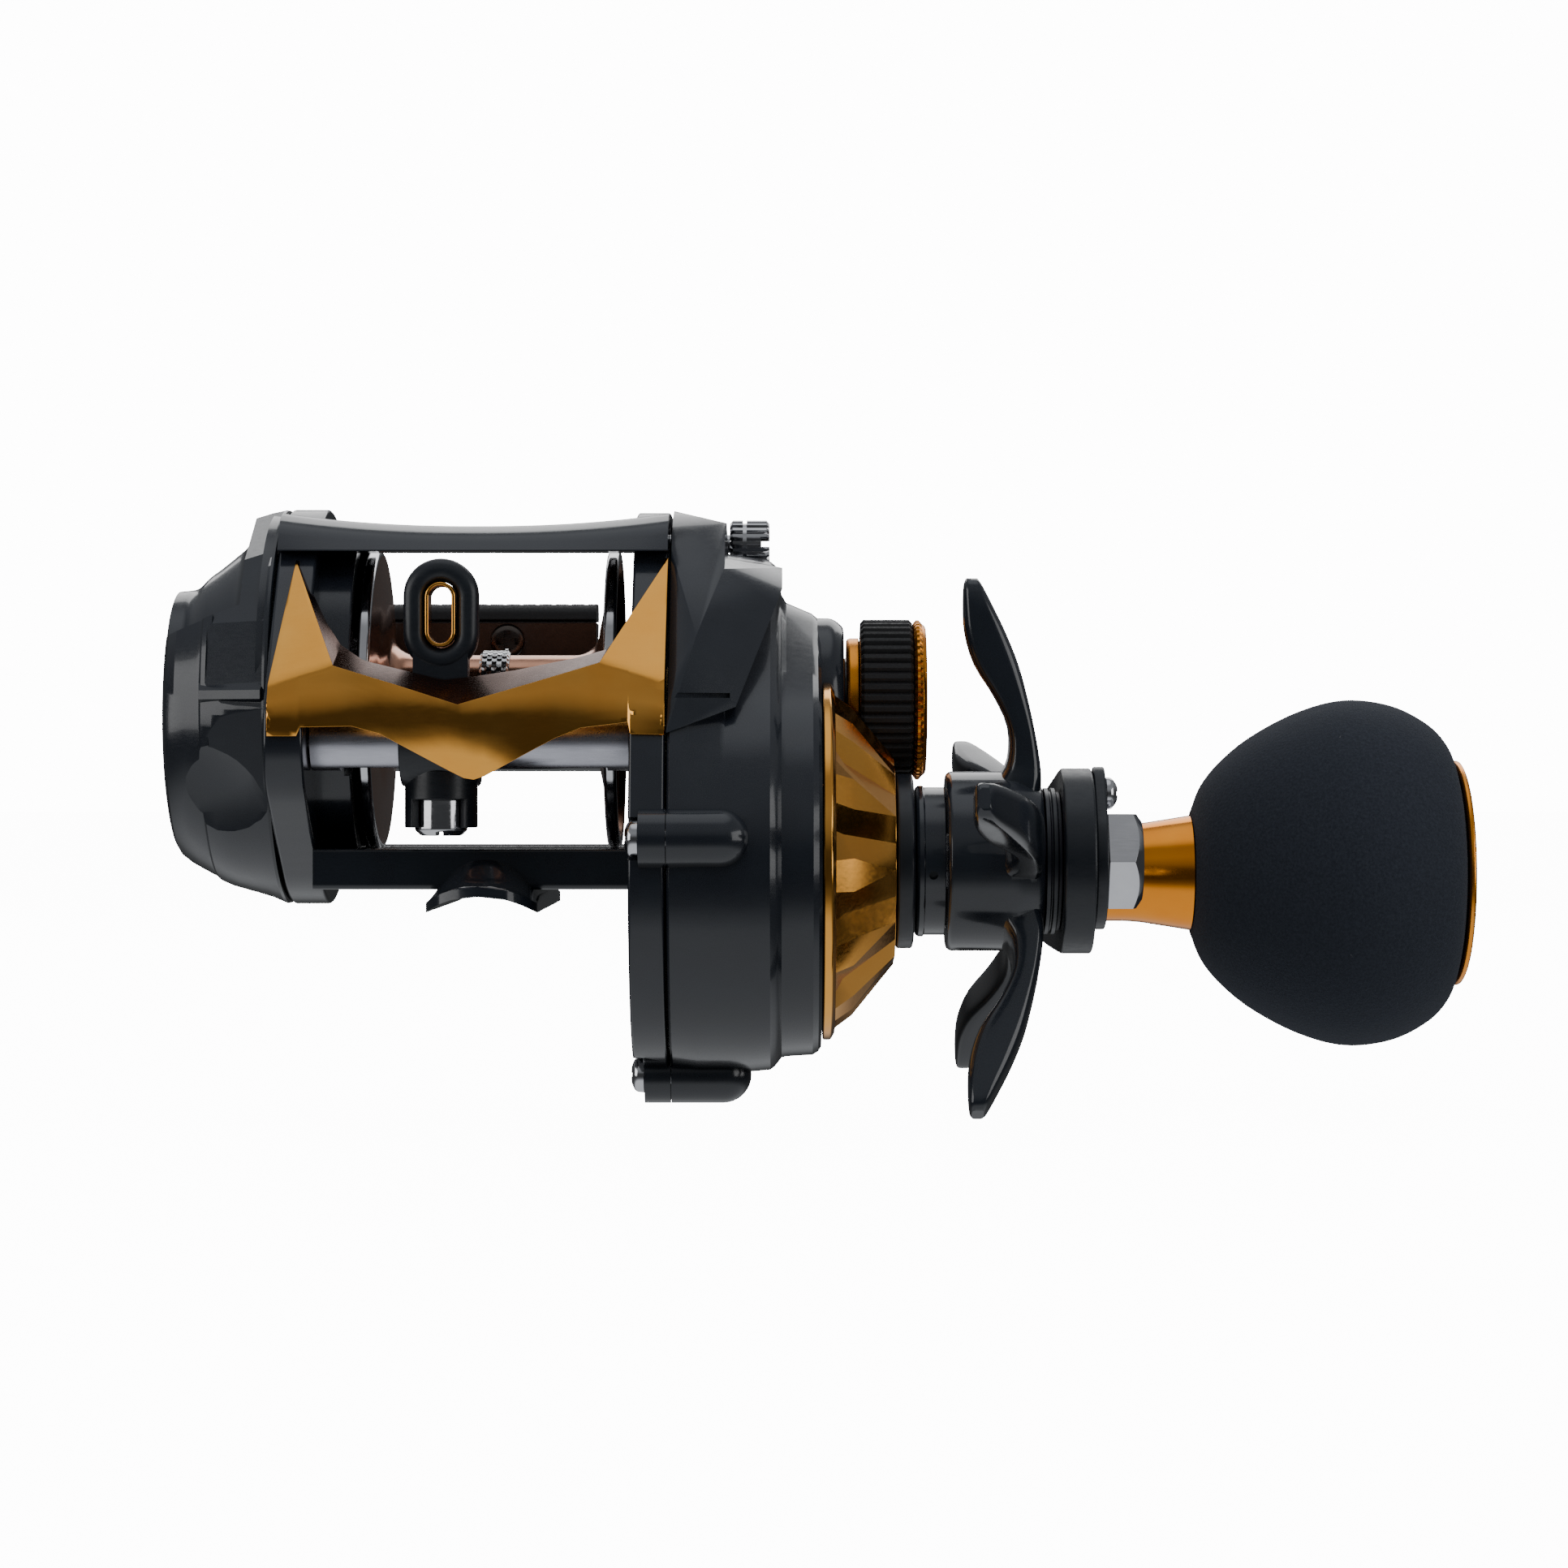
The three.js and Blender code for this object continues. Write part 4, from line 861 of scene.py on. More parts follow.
# Circles (y, z, radius) that the outlines of the rings are laid round
PALM_DISC = (0, 23.8, 25.5)
GEAR_DISC = (*MAIN, 26.4)
SPOOL_DISC = (*SPOOL, 24.2)
NOSE = (*WORM, NOSE_R)
TAIL = (19, 24, 10.5)
PALM_CIRCLES = [PALM_DISC, NOSE, TAIL]
HANDLE_CIRCLES = [GEAR_DISC, SPOOL_DISC, NOSE, TAIL]

# Where the rings and their parts start and end along X
PALM_IN, PALM_OUT = -21.2, -26.1
HANDLE_IN, HANDLE_OUT = 18.4, 22.8
SCREW_SEAT = 19.7
COLLAR_END = -16.8

SPOOL_CLEAR = 19.9  # radius of the room that the spool turns in
SCREW_BORE = 1.35
HEAD_ROOM = 2.6


def edged(circles, x0, x1, edge=0.5):
    """Stations of a plate with rounded rims."""
    steps = [(0.0, 1.0), (0.3, 0.42), (0.65, 0.1), (1.0, 0.0)]
    near = [(x0 + edge * t, band(circles, -edge * s)) for t, s in steps]
    far = [(x1 - edge * t, band(circles, -edge * s)) for t, s in reversed(steps)]
    return near + far


def palm_ring():
    ring = loft("frame_palm_ring", edged(PALM_CIRCLES, PALM_OUT, PALM_IN, 0.45), CASTING)
    cut(ring, rod(-30, -18, 20.6, SPOOL, 128), rod(-24.8, -18, 2.6, WORM, 32),
        block(-23, -20, 20.6, 23.4, 26.4, 34.6))
    collar = [
        (PALM_IN - 0.4, SPOOL_CLEAR), (PALM_IN - 0.4, 22), (COLLAR_END, 22, 0.3),
        (COLLAR_END, SPOOL_CLEAR, 0.2),
    ]
    wall = lathe("tool", collar, SPOOL, None, 128, 0.05)
    join(ring, wall)
    cut(ring, rod(-21.15, -16, 4.25, WORM, 48), rod(-17.6, -16, 6.4, WORM, 48),
        block(-21.4, -16, 20.5, 23.5, 26.3, 34.7))
    stand_for(even(ring, 30), "frame")


def handle_ring():
    ring = loft("frame_gear_ring", edged(HANDLE_CIRCLES, HANDLE_IN, HANDLE_OUT, 0.4), CASTING)
    hollow = slab("tool", band(HANDLE_CIRCLES, -1.6), 20.2, 24, None)
    cut(ring, hollow)
    side_lugs = [middle("side_screw_front"), middle("side_screw_bottom")]
    join(ring, *[rod(SCREW_SEAT, HANDLE_OUT + 0.2, BOSS_R, place, 48) for place in side_lugs],
         rod(19.2, HANDLE_OUT, 3.4, TAKEDOWN, 48))
    tools = [rod(18, 24, SCREW_BORE, place, 24) for place in (*side_lugs, TAKEDOWN)]
    for y, z in side_lugs:
        tools.append(rod(16, SCREW_SEAT, HEAD_ROOM, (y, z), 48))
        tools.append(block(16, SCREW_SEAT, y - 9, y, z - HEAD_ROOM, z + HEAD_ROOM))
    tools += [rod(17, 24, 2.25, MAIN, 48), rod(17, 24, 5.1, SPOOL, 64), rod(17, 24, 2.6, WORM, 32)]
    tools.append(block(17, 21, 19.9, 22.7, 23.6, 32.4))
    cut(ring, *tools)
    go_with(even(ring, 30), "frame")


def top_bar():
    """The bridge over the spool: straight below, dipping in the middle above, laid over both rings."""
    stations = []
    x0, x1 = PALM_OUT + 0.05, HANDLE_OUT - 0.05
    count = 48
    for i in range(count + 1):
        x = x0 + (x1 - x0) * i / count
        t = abs(2 * i / count - 1)
        lift = 1.6 * t ** 2.2
        outline = soften([
            (-19.0, 42.9, 0.3), (-9.0, 43.2, 0.5), (-3.5, 45.0, 0.8), (-4.0, 46.4 + lift, 0.8),
            (-12.8, 46.5 + lift, 1.4), (-16.9, 45.2 + lift * 0.8, 1.6),
        ], 0.5, closed=True)
        stations.append((x, outline))
    bar = loft("frame_top_bar", stations, CASTING)
    go_with(even(bar, 38), "frame")


def frame_floor():
    left, right = PALM_IN - 0.3, HANDLE_IN + 0.3
    outline = soften([(-20, 0.6, 0.8), (22, 0.6, 0.8), (22, 5.7, 0.4), (-20, 5.7, 0.4)], 0.4, closed=True)
    floor = slab("frame_floor", outline, left, right, GLOSS)
    relief = [block(-19, -8, -17, 19, 0, 3.2), block(8, 16.4, -17, 19, 0, 3.2)]
    cut(floor, *relief, rod(-17.6, 17.6, SPOOL_CLEAR, SPOOL, 128))
    go_with(bevel(floor, 0.2, 2), "frame")
    bar = lathe("frame_rear_bar", [(left, 0), (left, 2), (right, 2), (right, 0)], (26.5, 17.5), CASTING, 48)
    go_with(smooth(bar), "frame")


FOOT_HALF = 6.9
FOOT_LENGTH = 64
SADDLE_R = 12
SADDLE_FLAT = 1.6


def foot():
    """The saddle: a crescent in section, thick where it meets the frame and thin at both ends."""
    base = math.sqrt(SADDLE_R ** 2 - SADDLE_FLAT ** 2)

    def underside(x):
        return 0.0 if abs(x) <= SADDLE_FLAT else math.sqrt(SADDLE_R ** 2 - x * x) - base

    rings = []
    count = 80
    for i in range(count + 1):
        t = 2 * i / count - 1
        y = t * FOOT_LENGTH / 2
        end = max(0.0, abs(y) - (FOOT_LENGTH / 2 - FOOT_HALF))
        half = math.sqrt(max(0.09, FOOT_HALF ** 2 - end ** 2))
        thick = 1.3 + 3.9 * ease((29 - abs(y)) / 13)
        under = [(x, y, underside(x)) for x in np.linspace(-half, half, 33)]
        over = [(x, y, underside(x) + 1.2 + (thick - 1.2) * (1 - (x / half) ** 2) ** 0.9)
                for x in np.linspace(half, -half, 33)]
        rings.append(under + over)
    saddle = make_object("reel_foot", *skin(rings), GLOSS)
    go_with(even(saddle, 40), "frame")


# ---------------------------------------------------------------- front cover


def front_of(outline, height):
    """How far forward an outline reaches at a height."""
    best = None
    for (y0, z0), (y1, z1) in zip(outline, outline[1:] + outline[:1]):
        if (z0 - height) * (z1 - height) <= 0 and z0 != z1:
            y = y0 + (y1 - y0) * (height - z0) / (z1 - z0)
            best = y if best is None else min(best, y)
    return best


LEFT_FRONT = band([PALM_DISC, NOSE, SPOOL_DISC])
RIGHT_FRONT = band([GEAR_DISC, SPOOL_DISC, NOSE, PALM_DISC])

COVER_LEFT, COVER_RIGHT = -25.5, 22.75
COVER_SHEET = 0.45  # its thickness

# The cover's lines from left to right, as (x, z, how far it stands proud of the rings)
TIP_LEFT = (-23.7, 41.8, 0.45)
TIP_RIGHT = (22.8, 42.1, 0.45)
CREASE_LEFT = (COVER_LEFT, 26.0, 1.9)
CREASE_RIGHT = (COVER_RIGHT, 26.6, 1.8)
RIDGE = [(-17.6, 28.2, 3.4), (-10.0, 25.9, 3.0), (-2.2, 23.4, 3.2), (6.4, 26.0, 2.9), (14.8, 28.6, 3.2)]
LOWER = [
    (COVER_LEFT, 19.6, 0.55), (-21.9, 19.6, 0.55), (-21.4, 20.7, 0.55), (-15.2, 20.8, 0.5),
    (-11.8, 19.9, 0.5), (-3.4, 15.4, 1.1), (-1.6, 14.5, 1.3), (-0.4, 14.3, 1.3), (0.9, 14.7, 1.2),
    (9.4, 19.3, 0.5), (12.6, 20.6, 0.4), (18.3, 21.3, 0.45), (18.6, 19.9, 0.5),
    (COVER_RIGHT, 19.8, 0.5),
]
INNER_LEFT = [TIP_LEFT, (-21.4, 37.6, -1.0), (-19.4, 33.8, -1.6), (-17.4, 31.0, -1.5)]
INNER = [
    (-17.4, 31.0, -1.5), (-14.4, 29.0, -1.4), (-4.6, 26.6, -2.4), (-0.4, 27.1, -2.4), (4.2, 27.8, -2.2),
    (12.0, 29.4, -1.4), (15.4, 30.4, -1.4),
]
INNER_RIGHT = [(15.4, 30.4, -1.4), (18.2, 33.6, -1.4), (20.6, 38.0, -1.0), TIP_RIGHT]


def cover_point(point):
    """Places a point on the skin in front of the rings, which swells towards the gears on the right."""
    x, z, proud = point
    right = ease((x + 5) / 22)
    left_y, right_y = front_of(LEFT_FRONT, z), front_of(RIGHT_FRONT, z)
    return (x, left_y + (right_y - left_y) * right - proud, z)


def between(a, b, t):
    return tuple(p + (q - p) * t for p, q in zip(a, b))


def at_x(line, x):
    """The point at x on a line of points that runs from left to right."""
    for a, b in zip(line, line[1:]):
        if a[0] <= x <= b[0] and b[0] > a[0]:
            return between(a, b, (x - a[0]) / (b[0] - a[0]))
    return line[0] if x < line[0][0] else line[-1]


def spread(line, count):
    """Evenly spaced points along a line."""
    lengths = [0.0]
    for a, b in zip(line, line[1:]):
        lengths.append(lengths[-1] + math.dist(a[:2], b[:2]))
    made = []
    for i in range(count + 1):
        wanted = lengths[-1] * i / count
        j = max(k for k in range(len(line) - 1) if lengths[k] <= wanted + 1e-9)
        span = lengths[j + 1] - lengths[j]
        made.append(between(line[j], line[j + 1], (wanted - lengths[j]) / span))
    return made


def columns_between(stops, step):
    made = []
    for x0, x1 in zip(stops, stops[1:]):
        count = max(1, round((x1 - x0) / step))
        made += [x0 + (x1 - x0) * i / count for i in range(count)]
    return made + [stops[-1]]


def front_cover():
    """Gold V trim: two upright spikes, a ridge between them, a bevel behind it and a hollow lower face."""
    crest = [CREASE_LEFT, *RIDGE, CREASE_RIGHT]
    xs = columns_between(sorted({p[0] for p in (*crest, *LOWER)}), 0.9)
    tops = [at_x(crest, x) for x in xs]
    points, faces = [], []

    def sheet(rows):
        """Faces over rows of points of equal length."""
        start, width = len(points), len(rows[0])
        for row in rows:
            points.extend(cover_point(p) for p in row)
        for r in range(len(rows) - 1):
            for i in range(width - 1):
                a = start + r * width + i
                faces.append((a, a + 1, a + width + 1, a + width))

    depth = 10
    rows = []
    for r in range(depth + 1):
        t = r / depth
        row = []
        for top in tops:
            x, z, proud = between(top, at_x(LOWER, top[0]), t)
            centre = math.exp(-((x + 0.6) / 5.0) ** 2)
            span = top[1] - at_x(LOWER, top[0])[1]
            hollow = math.sin(math.pi * t) * span * (0.045 - 0.02 * centre)
            fade = min(1.0, (x - COVER_LEFT) / 4, (COVER_RIGHT - x) / 4)
            row.append((x, z, proud - hollow * max(0.0, fade)))
        rows.append(row)
    sheet(rows)

    up = 14
    base_left = [p for p in tops if p[0] <= RIDGE[0][0] + 1e-6]
    base_right = [p for p in tops if p[0] >= RIDGE[-1][0] - 1e-6]
    for tip, base in ((TIP_LEFT, base_left), (TIP_RIGHT, base_right)):
        sheet([[between(p, tip, r / up) for p in base] for r in range(up + 1)])
    ridge = [p for p in tops if RIDGE[0][0] - 1e-6 <= p[0] <= RIDGE[-1][0] + 1e-6]
    outer = [between(TIP_LEFT, RIDGE[0], r / up) for r in range(up)] + ridge
    outer += [between(RIDGE[-1], TIP_RIGHT, r / up) for r in range(1, up + 1)]
    inner = spread(INNER_LEFT, up)[:-1]
    inner += [at_x(INNER, INNER[0][0] + (INNER[-1][0] - INNER[0][0]) * i / (len(ridge) - 1))
              for i in range(len(ridge))]
    inner += spread(INNER_RIGHT, up)[1:]
    for side in (0, -1):
        edge = [(CREASE_LEFT, TIP_LEFT), (CREASE_RIGHT, TIP_RIGHT)][side]
        line = [between(LOWER[side], edge[0], r / 6) for r in range(6)]
        line += [between(*edge, r / up) for r in range(up + 1)]
        sheet([line, [(x, z, -0.6) for x, z, proud in line]])
    bevel_starts = len(faces)
    sheet([[between(a, b, t / 4) for a, b in zip(outer, inner)] for t in range(5)])
    shell = make_object("front_trim", points, faces, GOLD)
    # The bevel faces behind the ridge take the darker gold copy, which is painted shade.
    shell.data.materials.append(GOLD_PAINTED_SHADE)
    for face in shell.data.polygons[bevel_starts:]:
        face.material_index = 1
    thick = shell.modifiers.new("thick", "SOLIDIFY")
    thick.thickness = COVER_SHEET * MM
    thick.offset = -1
    thick.use_even_offset = False
    settle(shell)
    stand_for(bevel(shell, 0.1, 2, 28), "front_cover")


# ---------------------------------------------------------------- palm cover

COVER_AXIS = (0, 23.4)

# x, height of the middle, radius
COVER = [
    (-40.85, 22.2, 16.3), (-40.7, 22.25, 17.0), (-40.2, 22.4, 18.0), (-39.0, 22.7, 19.2),
    (-37.6, 22.7, 20.0), (-36.1, 22.7, 20.8), (-35.6, 22.8, 21.1), (-35.45, 23.2, 21.8),
    (-35.2, 23.4, 22.2), (-33.8, 23.6, 23.0), (-32.4, 23.9, 23.7), (-30.6, 24.0, 24.3),
    (-28.6, 24.0, 24.9), (-26.9, 23.8, 25.45), (-26.55, 23.8, 25.4), (-26.4, 23.8, 25.1),
]


def turned_about_cover(degrees, radial, x, across=0.0):
    """A point by its angle above the front (-Y) level, its distance from the cover's axis and its x."""
    angle = math.radians(degrees)
    y = COVER_AXIS[0] - radial * math.cos(angle) - across * math.sin(angle)
    z = COVER_AXIS[1] + radial * math.sin(angle) - across * math.cos(angle)
    return (x, y, z)


def flat(degrees, near, far, x0, x1, width=26):
    """A cutter whose inner face is a plane across the cover, at distance `near` at x0 and `far` at x1."""
    corners = []
    for x, radial in ((x0, near), (x1, far)):
        for across in (-width, width):
            corners.append(turned_about_cover(degrees, radial, x, across))
            corners.append(turned_about_cover(degrees, 45, x, across))
    return hull("tool", corners)


def round_points(radius, count=28):
    """Points spread over a ball."""
    made = []
    for i in range(count):
        height = math.pi * (i + 0.5) / count
        for j in range(2 * count):
            turn = math.pi * j / count
            made.append((radius * math.sin(height) * math.cos(turn),
                         radius * math.sin(height) * math.sin(turn), radius * math.cos(height)))
    return made


def palm_cover():
    shell = loft("palm_plate", [(x, band([(0, z, r)], 0, 192)) for x, z, r in COVER], CASTING)
    lobe = lathe("tool", [
        (-30.7, 32), (-30.7, 22.9, 0.3), (-31.6, 21.2, 1.2), (-35.2, 18.3, 2), (-36.8, 17.2, 1),
        (-38.2, 15.6, 1), (-42, 15.2), (-42, 32),
    ], COVER_AXIS, None, 160, 0.2)
    above = hull("tool", [(x, y, z) for x, z in ((-43, 31.5), (-30, 36.5), (-43, 60), (-30, 60))
                          for y in (-40, 40)])
    cut(shell, keep(lobe, above))
    scoop = hull("tool", [
        (x + dx, y + dy, z + dz) for x, y, z in ((-40.5, -36.4, 4.6), (-43.5, -38, -14))
        for dx, dy, dz in round_points(20.9)
    ])
    facets = [
        flat(40, 23.9, 22.3, -27.2, -34.0), flat(16, 24.3, 22.3, -27.2, -34.6),
        flat(62, 24.4, 22.6, -26.9, -33.0), flat(-16, 24.45, 22.6, -27.2, -34.2),
    ]
    cut(shell, scoop, *facets)
    bar = hull("tool", [
        *[(x, y, z) for x, y in ((-35.3, -22.9), (-27.3, -26.0)) for z in (24.3, 25.4)],
        *[(x, y + 1.6, z) for x, y in ((-35.6, -22.3), (-27.0, -25.2)) for z in (23.2, 27.0)],
    ])
    join(shell, bar)
    hollow = [(-39.9, 8), (-36.5, 12.5), (-33, 15.5), (-29, 19.0), (-27.9, 19.2), (-25, 23.2)]
    cut(shell, loft("tool", [(x, band([(*SPOOL, r)])) for x, r in hollow], None))
    hub = [
        (-39.9, 5.6), (-39.9, 8.5), (-33, 7.2), (-33, 5.2), (-17.3, 5.2), (-17.3, 4.1), (-20.1, 4.1),
        (-20.1, 3), (-36.5, 3), (-36.5, 5.6),
    ]
    bayonet = [(-28.2, 18.6), (-28.2, 24.0), (-26.6, 24.0), (-26.6, 20.2), (-22.5, 20.2), (-22.5, 18.6)]
    join(shell, lathe("tool", hub, SPOOL, None, 64), lathe("tool", bayonet, SPOOL, None, 128))
    cut(shell, rod(-42, -38, 5.6, SPOOL, 64))
    stand_for(even(shell, 16), "palm_cover")


def brake_dial():
    dial = [
        (-41.8, 0), (-41.8, 3.6, 0.1), (-41.55, 3.8, 0.1), (-41.55, 4.3, 0.1), (-41.75, 4.5, 0.1),
        (-41.3, 5.3, 0.3), (-39.6, 5.3), (-39.6, 2.4), (-36.7, 2.4), (-36.7, 0),
    ]
    turned("brake_dial", "brake_dial_cap", dial, SPOOL, CHROME, 96, 0.1)


# ---------------------------------------------------------------- spool


KNURL_WALL = 0.35


def knurled(name, place, x0, x1, radius, depth, cells_round, cells_long, material):
    """A band with a diamond knurl."""
    steps = cells_long * 4

    def radius_at(row, i):
        edge = 0.0 if 0 < row < steps else depth
        u, v = i / 4, row / 4
        ridge = max(abs(math.sin(math.pi * (u + v))), abs(math.sin(math.pi * (u - v))))
        return radius - edge - depth * (1 - ridge)

    xs = [x0 + (x1 - x0) * s / steps for s in range(steps + 1)]
    return worked_ring(name, place, xs, radius_at, radius - KNURL_WALL, cells_round * 4, material)


def spool():
    fillet = arc(10.3, 9.0, 3.2, 0, -90, 10)
    half = [
        (12.2, 2.1), (12.2, 3.4, 0.3), (14.5, 9.4, 1.0), (15.2, 17.4, 0.4), (16.2, 17.9, 0.2),
        (16.2, 19.1, 0.3), (15.9, 19.3, 0.2), (14.9, 19.3, 0.2), (14.6, 18.9, 0.3), (14.2, 12.5, 1.0),
    ]
    half += [(x, r, 0) for x, r in fillet] + [(7.5, 5.8, 0), (2.3, 5.8, 0)]
    profile = half + [(-x, *rest) for x, *rest in reversed(half)]
    drum = smooth(lathe("spool_drum", profile, SPOOL, ROSE, 144, 0.1), 36)
    paint(drum, CHROME, lambda x, y, z: off_axis(SPOOL, y, z) > 18.4)
    stand_for(drum, "spool")
    strip = knurled("arbor_knurl", SPOOL, -1.9, 1.9, 6.4, 0.32, 34, 3, CHROME)
    stand_for(smooth(strip, 24), "arbor_band")


# ---------------------------------------------------------------- thumb bar


LEVER_ENDS = (-16.5, 12)
LEVER_SCREW = (0, 23, 33)


def face_front(piece, place):
    """Turns a piece made round the X axis so that its left end looks to the front, and places it."""
    piece.data.transform(Matrix.Rotation(math.pi / 2, 4, "Z"))
    piece.data.transform(Matrix.Translation(Vector(place) * MM))
    return piece


def thumb_bar():
    outline = soften([
        (20.6, 35.6, 0.2), (22, 30.4, 0.4), (24.5, 30.4, 0.6), (28.5, 35.6, 0.3),
    ], 0.3, closed=True)
    bar = slab("thumb_lever", outline, *LEVER_ENDS, BRONZE)
    join(bar, block(11, 20.4, 20.3, 22.3, 28, 32), block(-22.6, -16, 21, 23, 31, 34))
    hole = lathe("tool", [(-6, 0), (-6, 2.4), (-1.9, 2.4), (-1.9, 1), (4, 1), (4, 0)], (0, 0), None, 48)
    cut(bar, face_front(hole, LEVER_SCREW))
    stand_for(bevel(bar, 0.25, 3), "thumb_bar")

    top = soften([
        (20.2, 35.9, 0.2), (20.5, 37.3, 0.5), (21.8, 38.1, 0.8), (27.4, 38.3, 0.9), (28.7, 37.5, 0.6),
        (28.9, 35.9, 0.2),
    ], 0.3, closed=True)
    pad = slab("thumb_rest", top, *LEVER_ENDS, PAD)
    grooves = [block(-14 + i * 2.2, -13.4 + i * 2.2, 22, 27, 38.0, 39) for i in range(12)]
    cut(pad, *grooves)
    stand_for(bevel(pad, 0.3, 3), "thumb_pad")

    head = [(-2.7, 0), (-2.7, 1.6, 0.3), (-2.4, 2.25, 0.3), (-2.0, 2.3, 0.1), (-2.0, 0.9), (2, 0.9), (2, 0)]
    screw = lathe("thumb_screw", head, (0, 0), DARK_METAL, 48, 0.1)
    cross_recess(screw, (0, 0), -4, -2.0, 1.5, 0.42)
    stand_for(smooth(face_front(screw, LEVER_SCREW)), "thumb_bar_screw")


# ---------------------------------------------------------------- level wind

GUIDE_X = (reach("line_guide")[0].x + reach("line_guide")[1].x) / 2
CARRIAGE_HALF = 4.85
EYE_Z = 34.7
EYE_FRONT = -25.8


def stadium(half_width, half_height, steps=20):
    straight = half_height - half_width
    top = arc(GUIDE_X, EYE_Z + straight, half_width, 0, 180, steps)
    return top + arc(GUIDE_X, EYE_Z - straight, half_width, 180, 360, steps)


def upright(name, profile, place, material, sides=64, radius=0.0):
    """A turned piece about an axis along Z through (x, y)."""
    piece = lathe(name, profile, (0, 0), material, sides, radius)
    piece.data.transform(Matrix.Rotation(-math.pi / 2, 4, "Y"))
    piece.data.transform(Matrix.Translation(Vector((*place, 0)) * MM))
    return piece


def guide_skirt(outer, inner, opening, z0, z1):
    """The wall round the pawl cap: a ring about an upright axis, open to the front."""
    start = math.degrees(math.asin(opening / outer)) - 90
    angles = [math.radians(start + (360 - 2 * (start + 90)) * i / 48) for i in range(49)]
    outline = [(GUIDE_X + outer * math.cos(a), WORM[0] + outer * math.sin(a)) for a in angles]
    inside = [(GUIDE_X + inner * math.cos(a), WORM[0] + inner * math.sin(a)) for a in reversed(angles)]
    inside = [(GUIDE_X + math.copysign(min(abs(x - GUIDE_X), opening), x - GUIDE_X), y) for x, y in inside]
    rings = [[(x, y, z) for x, y in outline + inside] for z in (z0, z1)]
    return make_object("guide_skirt", *skin(rings), SATIN)


def line_guide():
    x0, x1 = GUIDE_X - CARRIAGE_HALF, GUIDE_X + CARRIAGE_HALF
    place = (GUIDE_X, WORM[0])
    sleeve = lathe("guide_carriage", [(x0, 0), (x0, 6, 0.4), (x1, 6, 0.4), (x1, 0)], WORM, SATIN, 96, 0.3)
    housing = upright("tool", [(11.9, 0), (11.9, 4.5), (15.4, 4.5), (15.4, 0)], place, None, 64, 0.1)
    neck = block(GUIDE_X - 3.4, GUIDE_X + 3.4, -25.6, -22.4, 22, 30)
    join(sleeve, housing, neck)
    tools = [rod(x0 - 1, x1 + 1, 4.25, WORM), rod(x0 - 1, x1 + 1, SPOOL_CLEAR, SPOOL, 128)]
    tools.append(upright("tool", [(11, 0), (11, 2.35), (16, 2.35), (16, 0)], place, None))
    cut(sleeve, *tools)
    skirt = guide_skirt(4.5, 3.4, 3.3, 8.4, 12.2)
    eye = ring_in_front("guide_eye", stadium(4.65, 7.0), stadium(1.95, 4.1), EYE_FRONT, -21.7, 1.3, SATIN)
    stand_for(bevel(sleeve, 0.25, 3), "line_guide")
    go_with(smooth(eye, 60), "line_guide")
    go_with(bevel(skirt, 0.15, 2), "line_guide")
    insert = ring_in_front("guide_ring", stadium(1.88, 4.03), stadium(1.4, 3.55), EYE_FRONT - 0.2,
                           -21.5, 0.2, GOLD)
    stand_for(smooth(insert, 60), "guide_insert")


def ring_in_front(name, outer, inner, y0, y1, radius, material):
    """A ring between two outlines in the X-Z plane whose front and back edges are well rounded."""
    rings = []

    def blend_ring(t, y):
        """A ring of points, t of the way from the inner to the outer outline."""
        rings.append([(ix + (ox - ix) * t, y, iz + (oz - iz) * t)
                      for (ox, oz), (ix, iz) in zip(outer, inner)])

    angles = np.linspace(0, math.pi / 2, 6)
    part = min(0.45, radius / abs(outer[0][0] - inner[0][0]))
    for a in angles:
        blend_ring(1 - part + part * math.sin(a), y0 + radius * (1 - math.cos(a)))
    for a in angles:
        blend_ring(1 - part + part * math.cos(a), y1 - radius * (1 - math.sin(a)))
    for a in angles:
        blend_ring(part - part * math.sin(a), y1 - radius * (1 - math.cos(a)))
    for a in angles:
        blend_ring(part - part * math.cos(a), y0 + radius * (1 - math.sin(a)))
    return make_object(name, *skin(rings, closed=True), material)


def pawl_cap():
    low, high = reach("pawl_cap")
    profile = [
        (low.z, 0), (low.z, 2.5, 0.3), (low.z + 0.7, 3.25, 0.2), (high.z, 3.25, 0.1), (high.z, 0),
    ]
    cap = upright("pawl_screw_cap", profile, (GUIDE_X, WORM[0]), CHROME, 64, 0.2)
    slot = block(GUIDE_X - 0.45, GUIDE_X + 0.45, WORM[0] - 4, WORM[0] + 4, low.z - 1, low.z + 0.5)
    stand_for(smooth(cut(cap, slot)), "pawl_cap")


WORM_R = 2.4
WORM_PITCH = 7.5
GROOVE_DEPTH = 0.55
GROOVE_HALF = 0.55  # in radians round the worm


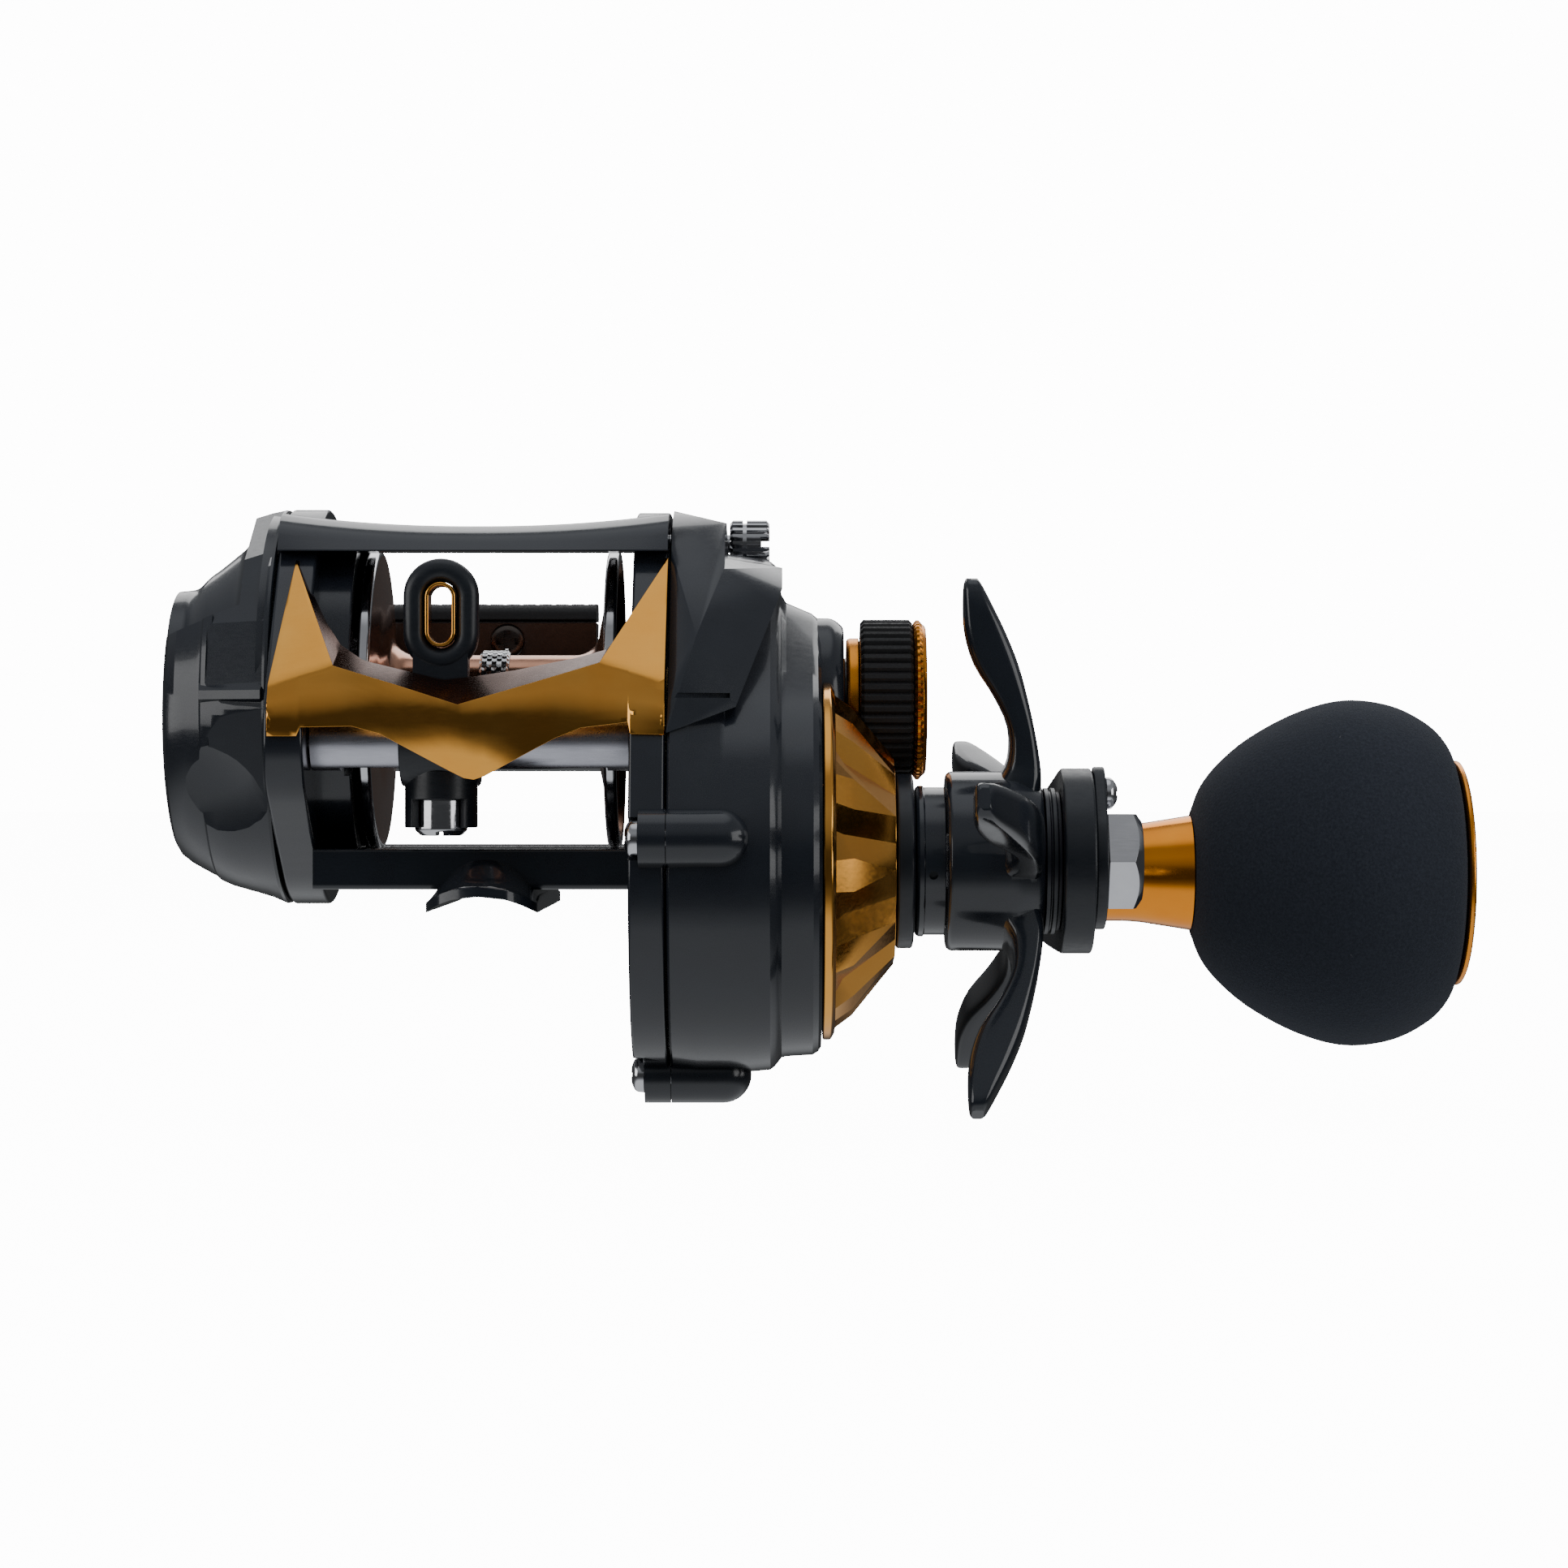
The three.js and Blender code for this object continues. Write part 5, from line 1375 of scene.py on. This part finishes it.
def worm():
    """The cross-cut worm: two grooves of opposite hand."""
    low, high = reach("worm_shaft")
    rings = []
    x0, x1 = -21.0, 17.8
    steps = 220
    for s in range(steps + 1):
        x = x0 + (x1 - x0) * s / steps
        ring = []
        for angle in turns(48):
            r = WORM_R
            for hand in (1, -1):
                phase = (angle * hand - 2 * math.pi * (x - x0) / WORM_PITCH) % (2 * math.pi)
                near = min(phase, 2 * math.pi - phase)
                r = min(r, WORM_R - GROOVE_DEPTH * max(0.0, 1 - near / GROOVE_HALF) ** 0.5)
            if s in (0, steps):
                r = min(r, WORM_R - 0.5)
            ring.append((x, *polar(WORM, r, angle)))
        rings.append(ring)
    shaft = make_object("worm_screw", *skin(rings), STEEL)
    for a, b in ((low.x, x0 + 0.1), (x1 - 0.1, high.x)):
        join(shaft, rod(a, b, 1.5, WORM, 32))
    stand_for(smooth(shaft, 40), "worm_shaft")
    tube = [(-21.0, 3.2), (-21.0, 4.05), (18.2, 4.05), (18.2, 3.2)]
    guard = lathe("worm_tube", tube, WORM, GREY_METAL, 96, 0.05)
    y, z = WORM
    cut(guard, block(-17.5, 15.5, y - 1.7, y + 1.7, z - 6, z))
    stand_for(smooth(guard), "worm_guard")


# ---------------------------------------------------------------- stage


FLOOR_GLOW = 13.0
BACKDROP = 14.0
FLOOR_HALF = 6.0
FLOOR_GAP = 0.004
REEL_MIDDLE = (0.045, 0, 0.012)
EYE_POINT = (0.0373, -0.52, 0.0138)
FOCAL_LENGTH = 92.05

# What the polish reflects, by how high it looks: a pale table below, a dark room level, a tent above
TENT = [
    (0.0, 0.75), (0.20, 0.70), (0.31, 0.14), (0.40, 0.05), (0.56, 0.05), (0.66, 0.20), (0.78, 0.30),
    (0.92, 0.26), (0.975, 0.80), (1.0, 0.85),
]

# Name, place, width, height and power of each light, in metres and watts
LIGHTS = [
    ("key", (0.10, -0.50, 0.80), 0.8, 0.5, 3.0), ("left", (-0.75, -0.34, 0.16), 0.80, 0.5, 2.4),
    ("right", (0.90, -0.34, 0.16), 0.80, 0.5, 2.2), ("back", (0.05, 0.7, 0.5), 0.9, 0.5, 2.5),
]


def stage():
    """A white floor: it is seen, but neither lights the reel from below nor shows in its polish."""
    floor_z = cad_box[0].z - FLOOR_GAP
    mesh = bpy.data.meshes.new("floor")
    corners = [(x * FLOOR_HALF, y * FLOOR_HALF, floor_z) for x, y in ((-1, -1), (1, -1), (1, 1), (-1, 1))]
    mesh.from_pydata(corners, [], [(0, 1, 2, 3)])
    floor = bpy.data.objects.new("floor", mesh)
    bpy.context.scene.collection.objects.link(floor)
    material, shader = start_material("pale_floor", (0.86, 0.86, 0.87), 0.0, 0.9)
    shader.inputs["Emission Color"].default_value = (1, 1, 1, 1)
    shader.inputs["Emission Strength"].default_value = FLOOR_GLOW
    floor.data.materials.append(material)
    floor.visible_glossy = False
    floor.visible_diffuse = False


def softbox(name, place, width, height, power):
    light = bpy.data.lights.new(name, "AREA")
    light.shape = "RECTANGLE"
    light.size = width
    light.size_y = height
    light.energy = power
    lamp = bpy.data.objects.new(name, light)
    bpy.context.scene.collection.objects.link(lamp)
    lamp.location = place
    lamp.rotation_euler = (Vector(REEL_MIDDLE) - Vector(place)).to_track_quat("-Z", "Y").to_euler()
    return lamp


def studio():
    world = bpy.data.worlds.new("studio")
    bpy.context.scene.world = world
    world.use_nodes = True
    nodes, links = world.node_tree.nodes, world.node_tree.links
    nodes.clear()
    seen = nodes.new("ShaderNodeBackground")
    seen.inputs["Color"].default_value = (1, 1, 1, 1)
    seen.inputs["Strength"].default_value = BACKDROP
    place = nodes.new("ShaderNodeTexCoord")
    split = nodes.new("ShaderNodeSeparateXYZ")
    height = nodes.new("ShaderNodeMapRange")
    height.inputs["From Min"].default_value = -1.0
    height.inputs["From Max"].default_value = 1.0
    tent = nodes.new("ShaderNodeValToRGB")
    stops = tent.color_ramp.elements
    while len(stops) < len(TENT):
        stops.new(0.5)
    for stop, (position, level) in zip(stops, TENT):
        stop.position = position
        stop.color = (level * 0.93, level * 0.96, level, 1)
    ambient = nodes.new("ShaderNodeBackground")
    ambient.inputs["Strength"].default_value = 1.0
    path = nodes.new("ShaderNodeLightPath")
    mix = nodes.new("ShaderNodeMixShader")
    out = nodes.new("ShaderNodeOutputWorld")
    links.new(place.outputs["Generated"], split.inputs["Vector"])
    links.new(split.outputs["Z"], height.inputs["Value"])
    links.new(height.outputs["Result"], tent.inputs["Fac"])
    links.new(tent.outputs["Color"], ambient.inputs["Color"])
    links.new(path.outputs["Is Camera Ray"], mix.inputs["Fac"])
    links.new(ambient.outputs["Background"], mix.inputs[1])
    links.new(seen.outputs["Background"], mix.inputs[2])
    links.new(mix.outputs["Shader"], out.inputs["Surface"])
    lamps = [softbox(*light) for light in LIGHTS]
    lamps[0].visible_glossy = False


def camera():
    """Level with the spool's lower half and square to the reel's front."""
    lens = bpy.data.cameras.new("camera")
    lens.lens = FOCAL_LENGTH
    lens.sensor_width = 36
    lens.clip_start = 0.01
    lens.clip_end = 50
    view = bpy.data.objects.new("camera", lens)
    bpy.context.scene.collection.objects.link(view)
    view.location = EYE_POINT
    view.rotation_euler = (math.pi / 2, 0, 0)
    bpy.context.scene.camera = view


camera()
studio()
stage()
knob()
handle()
star()
shaft_stack()
bezel()
tension_knob()
takedown()
gear_housing()
for node in ("side_screw_front", "side_screw_bottom"):
    side_screw(node)
palm_ring()
handle_ring()
top_bar()
frame_floor()
foot()
front_cover()
palm_cover()
brake_dial()
spool()
thumb_bar()
line_guide()
pawl_cap()
worm()
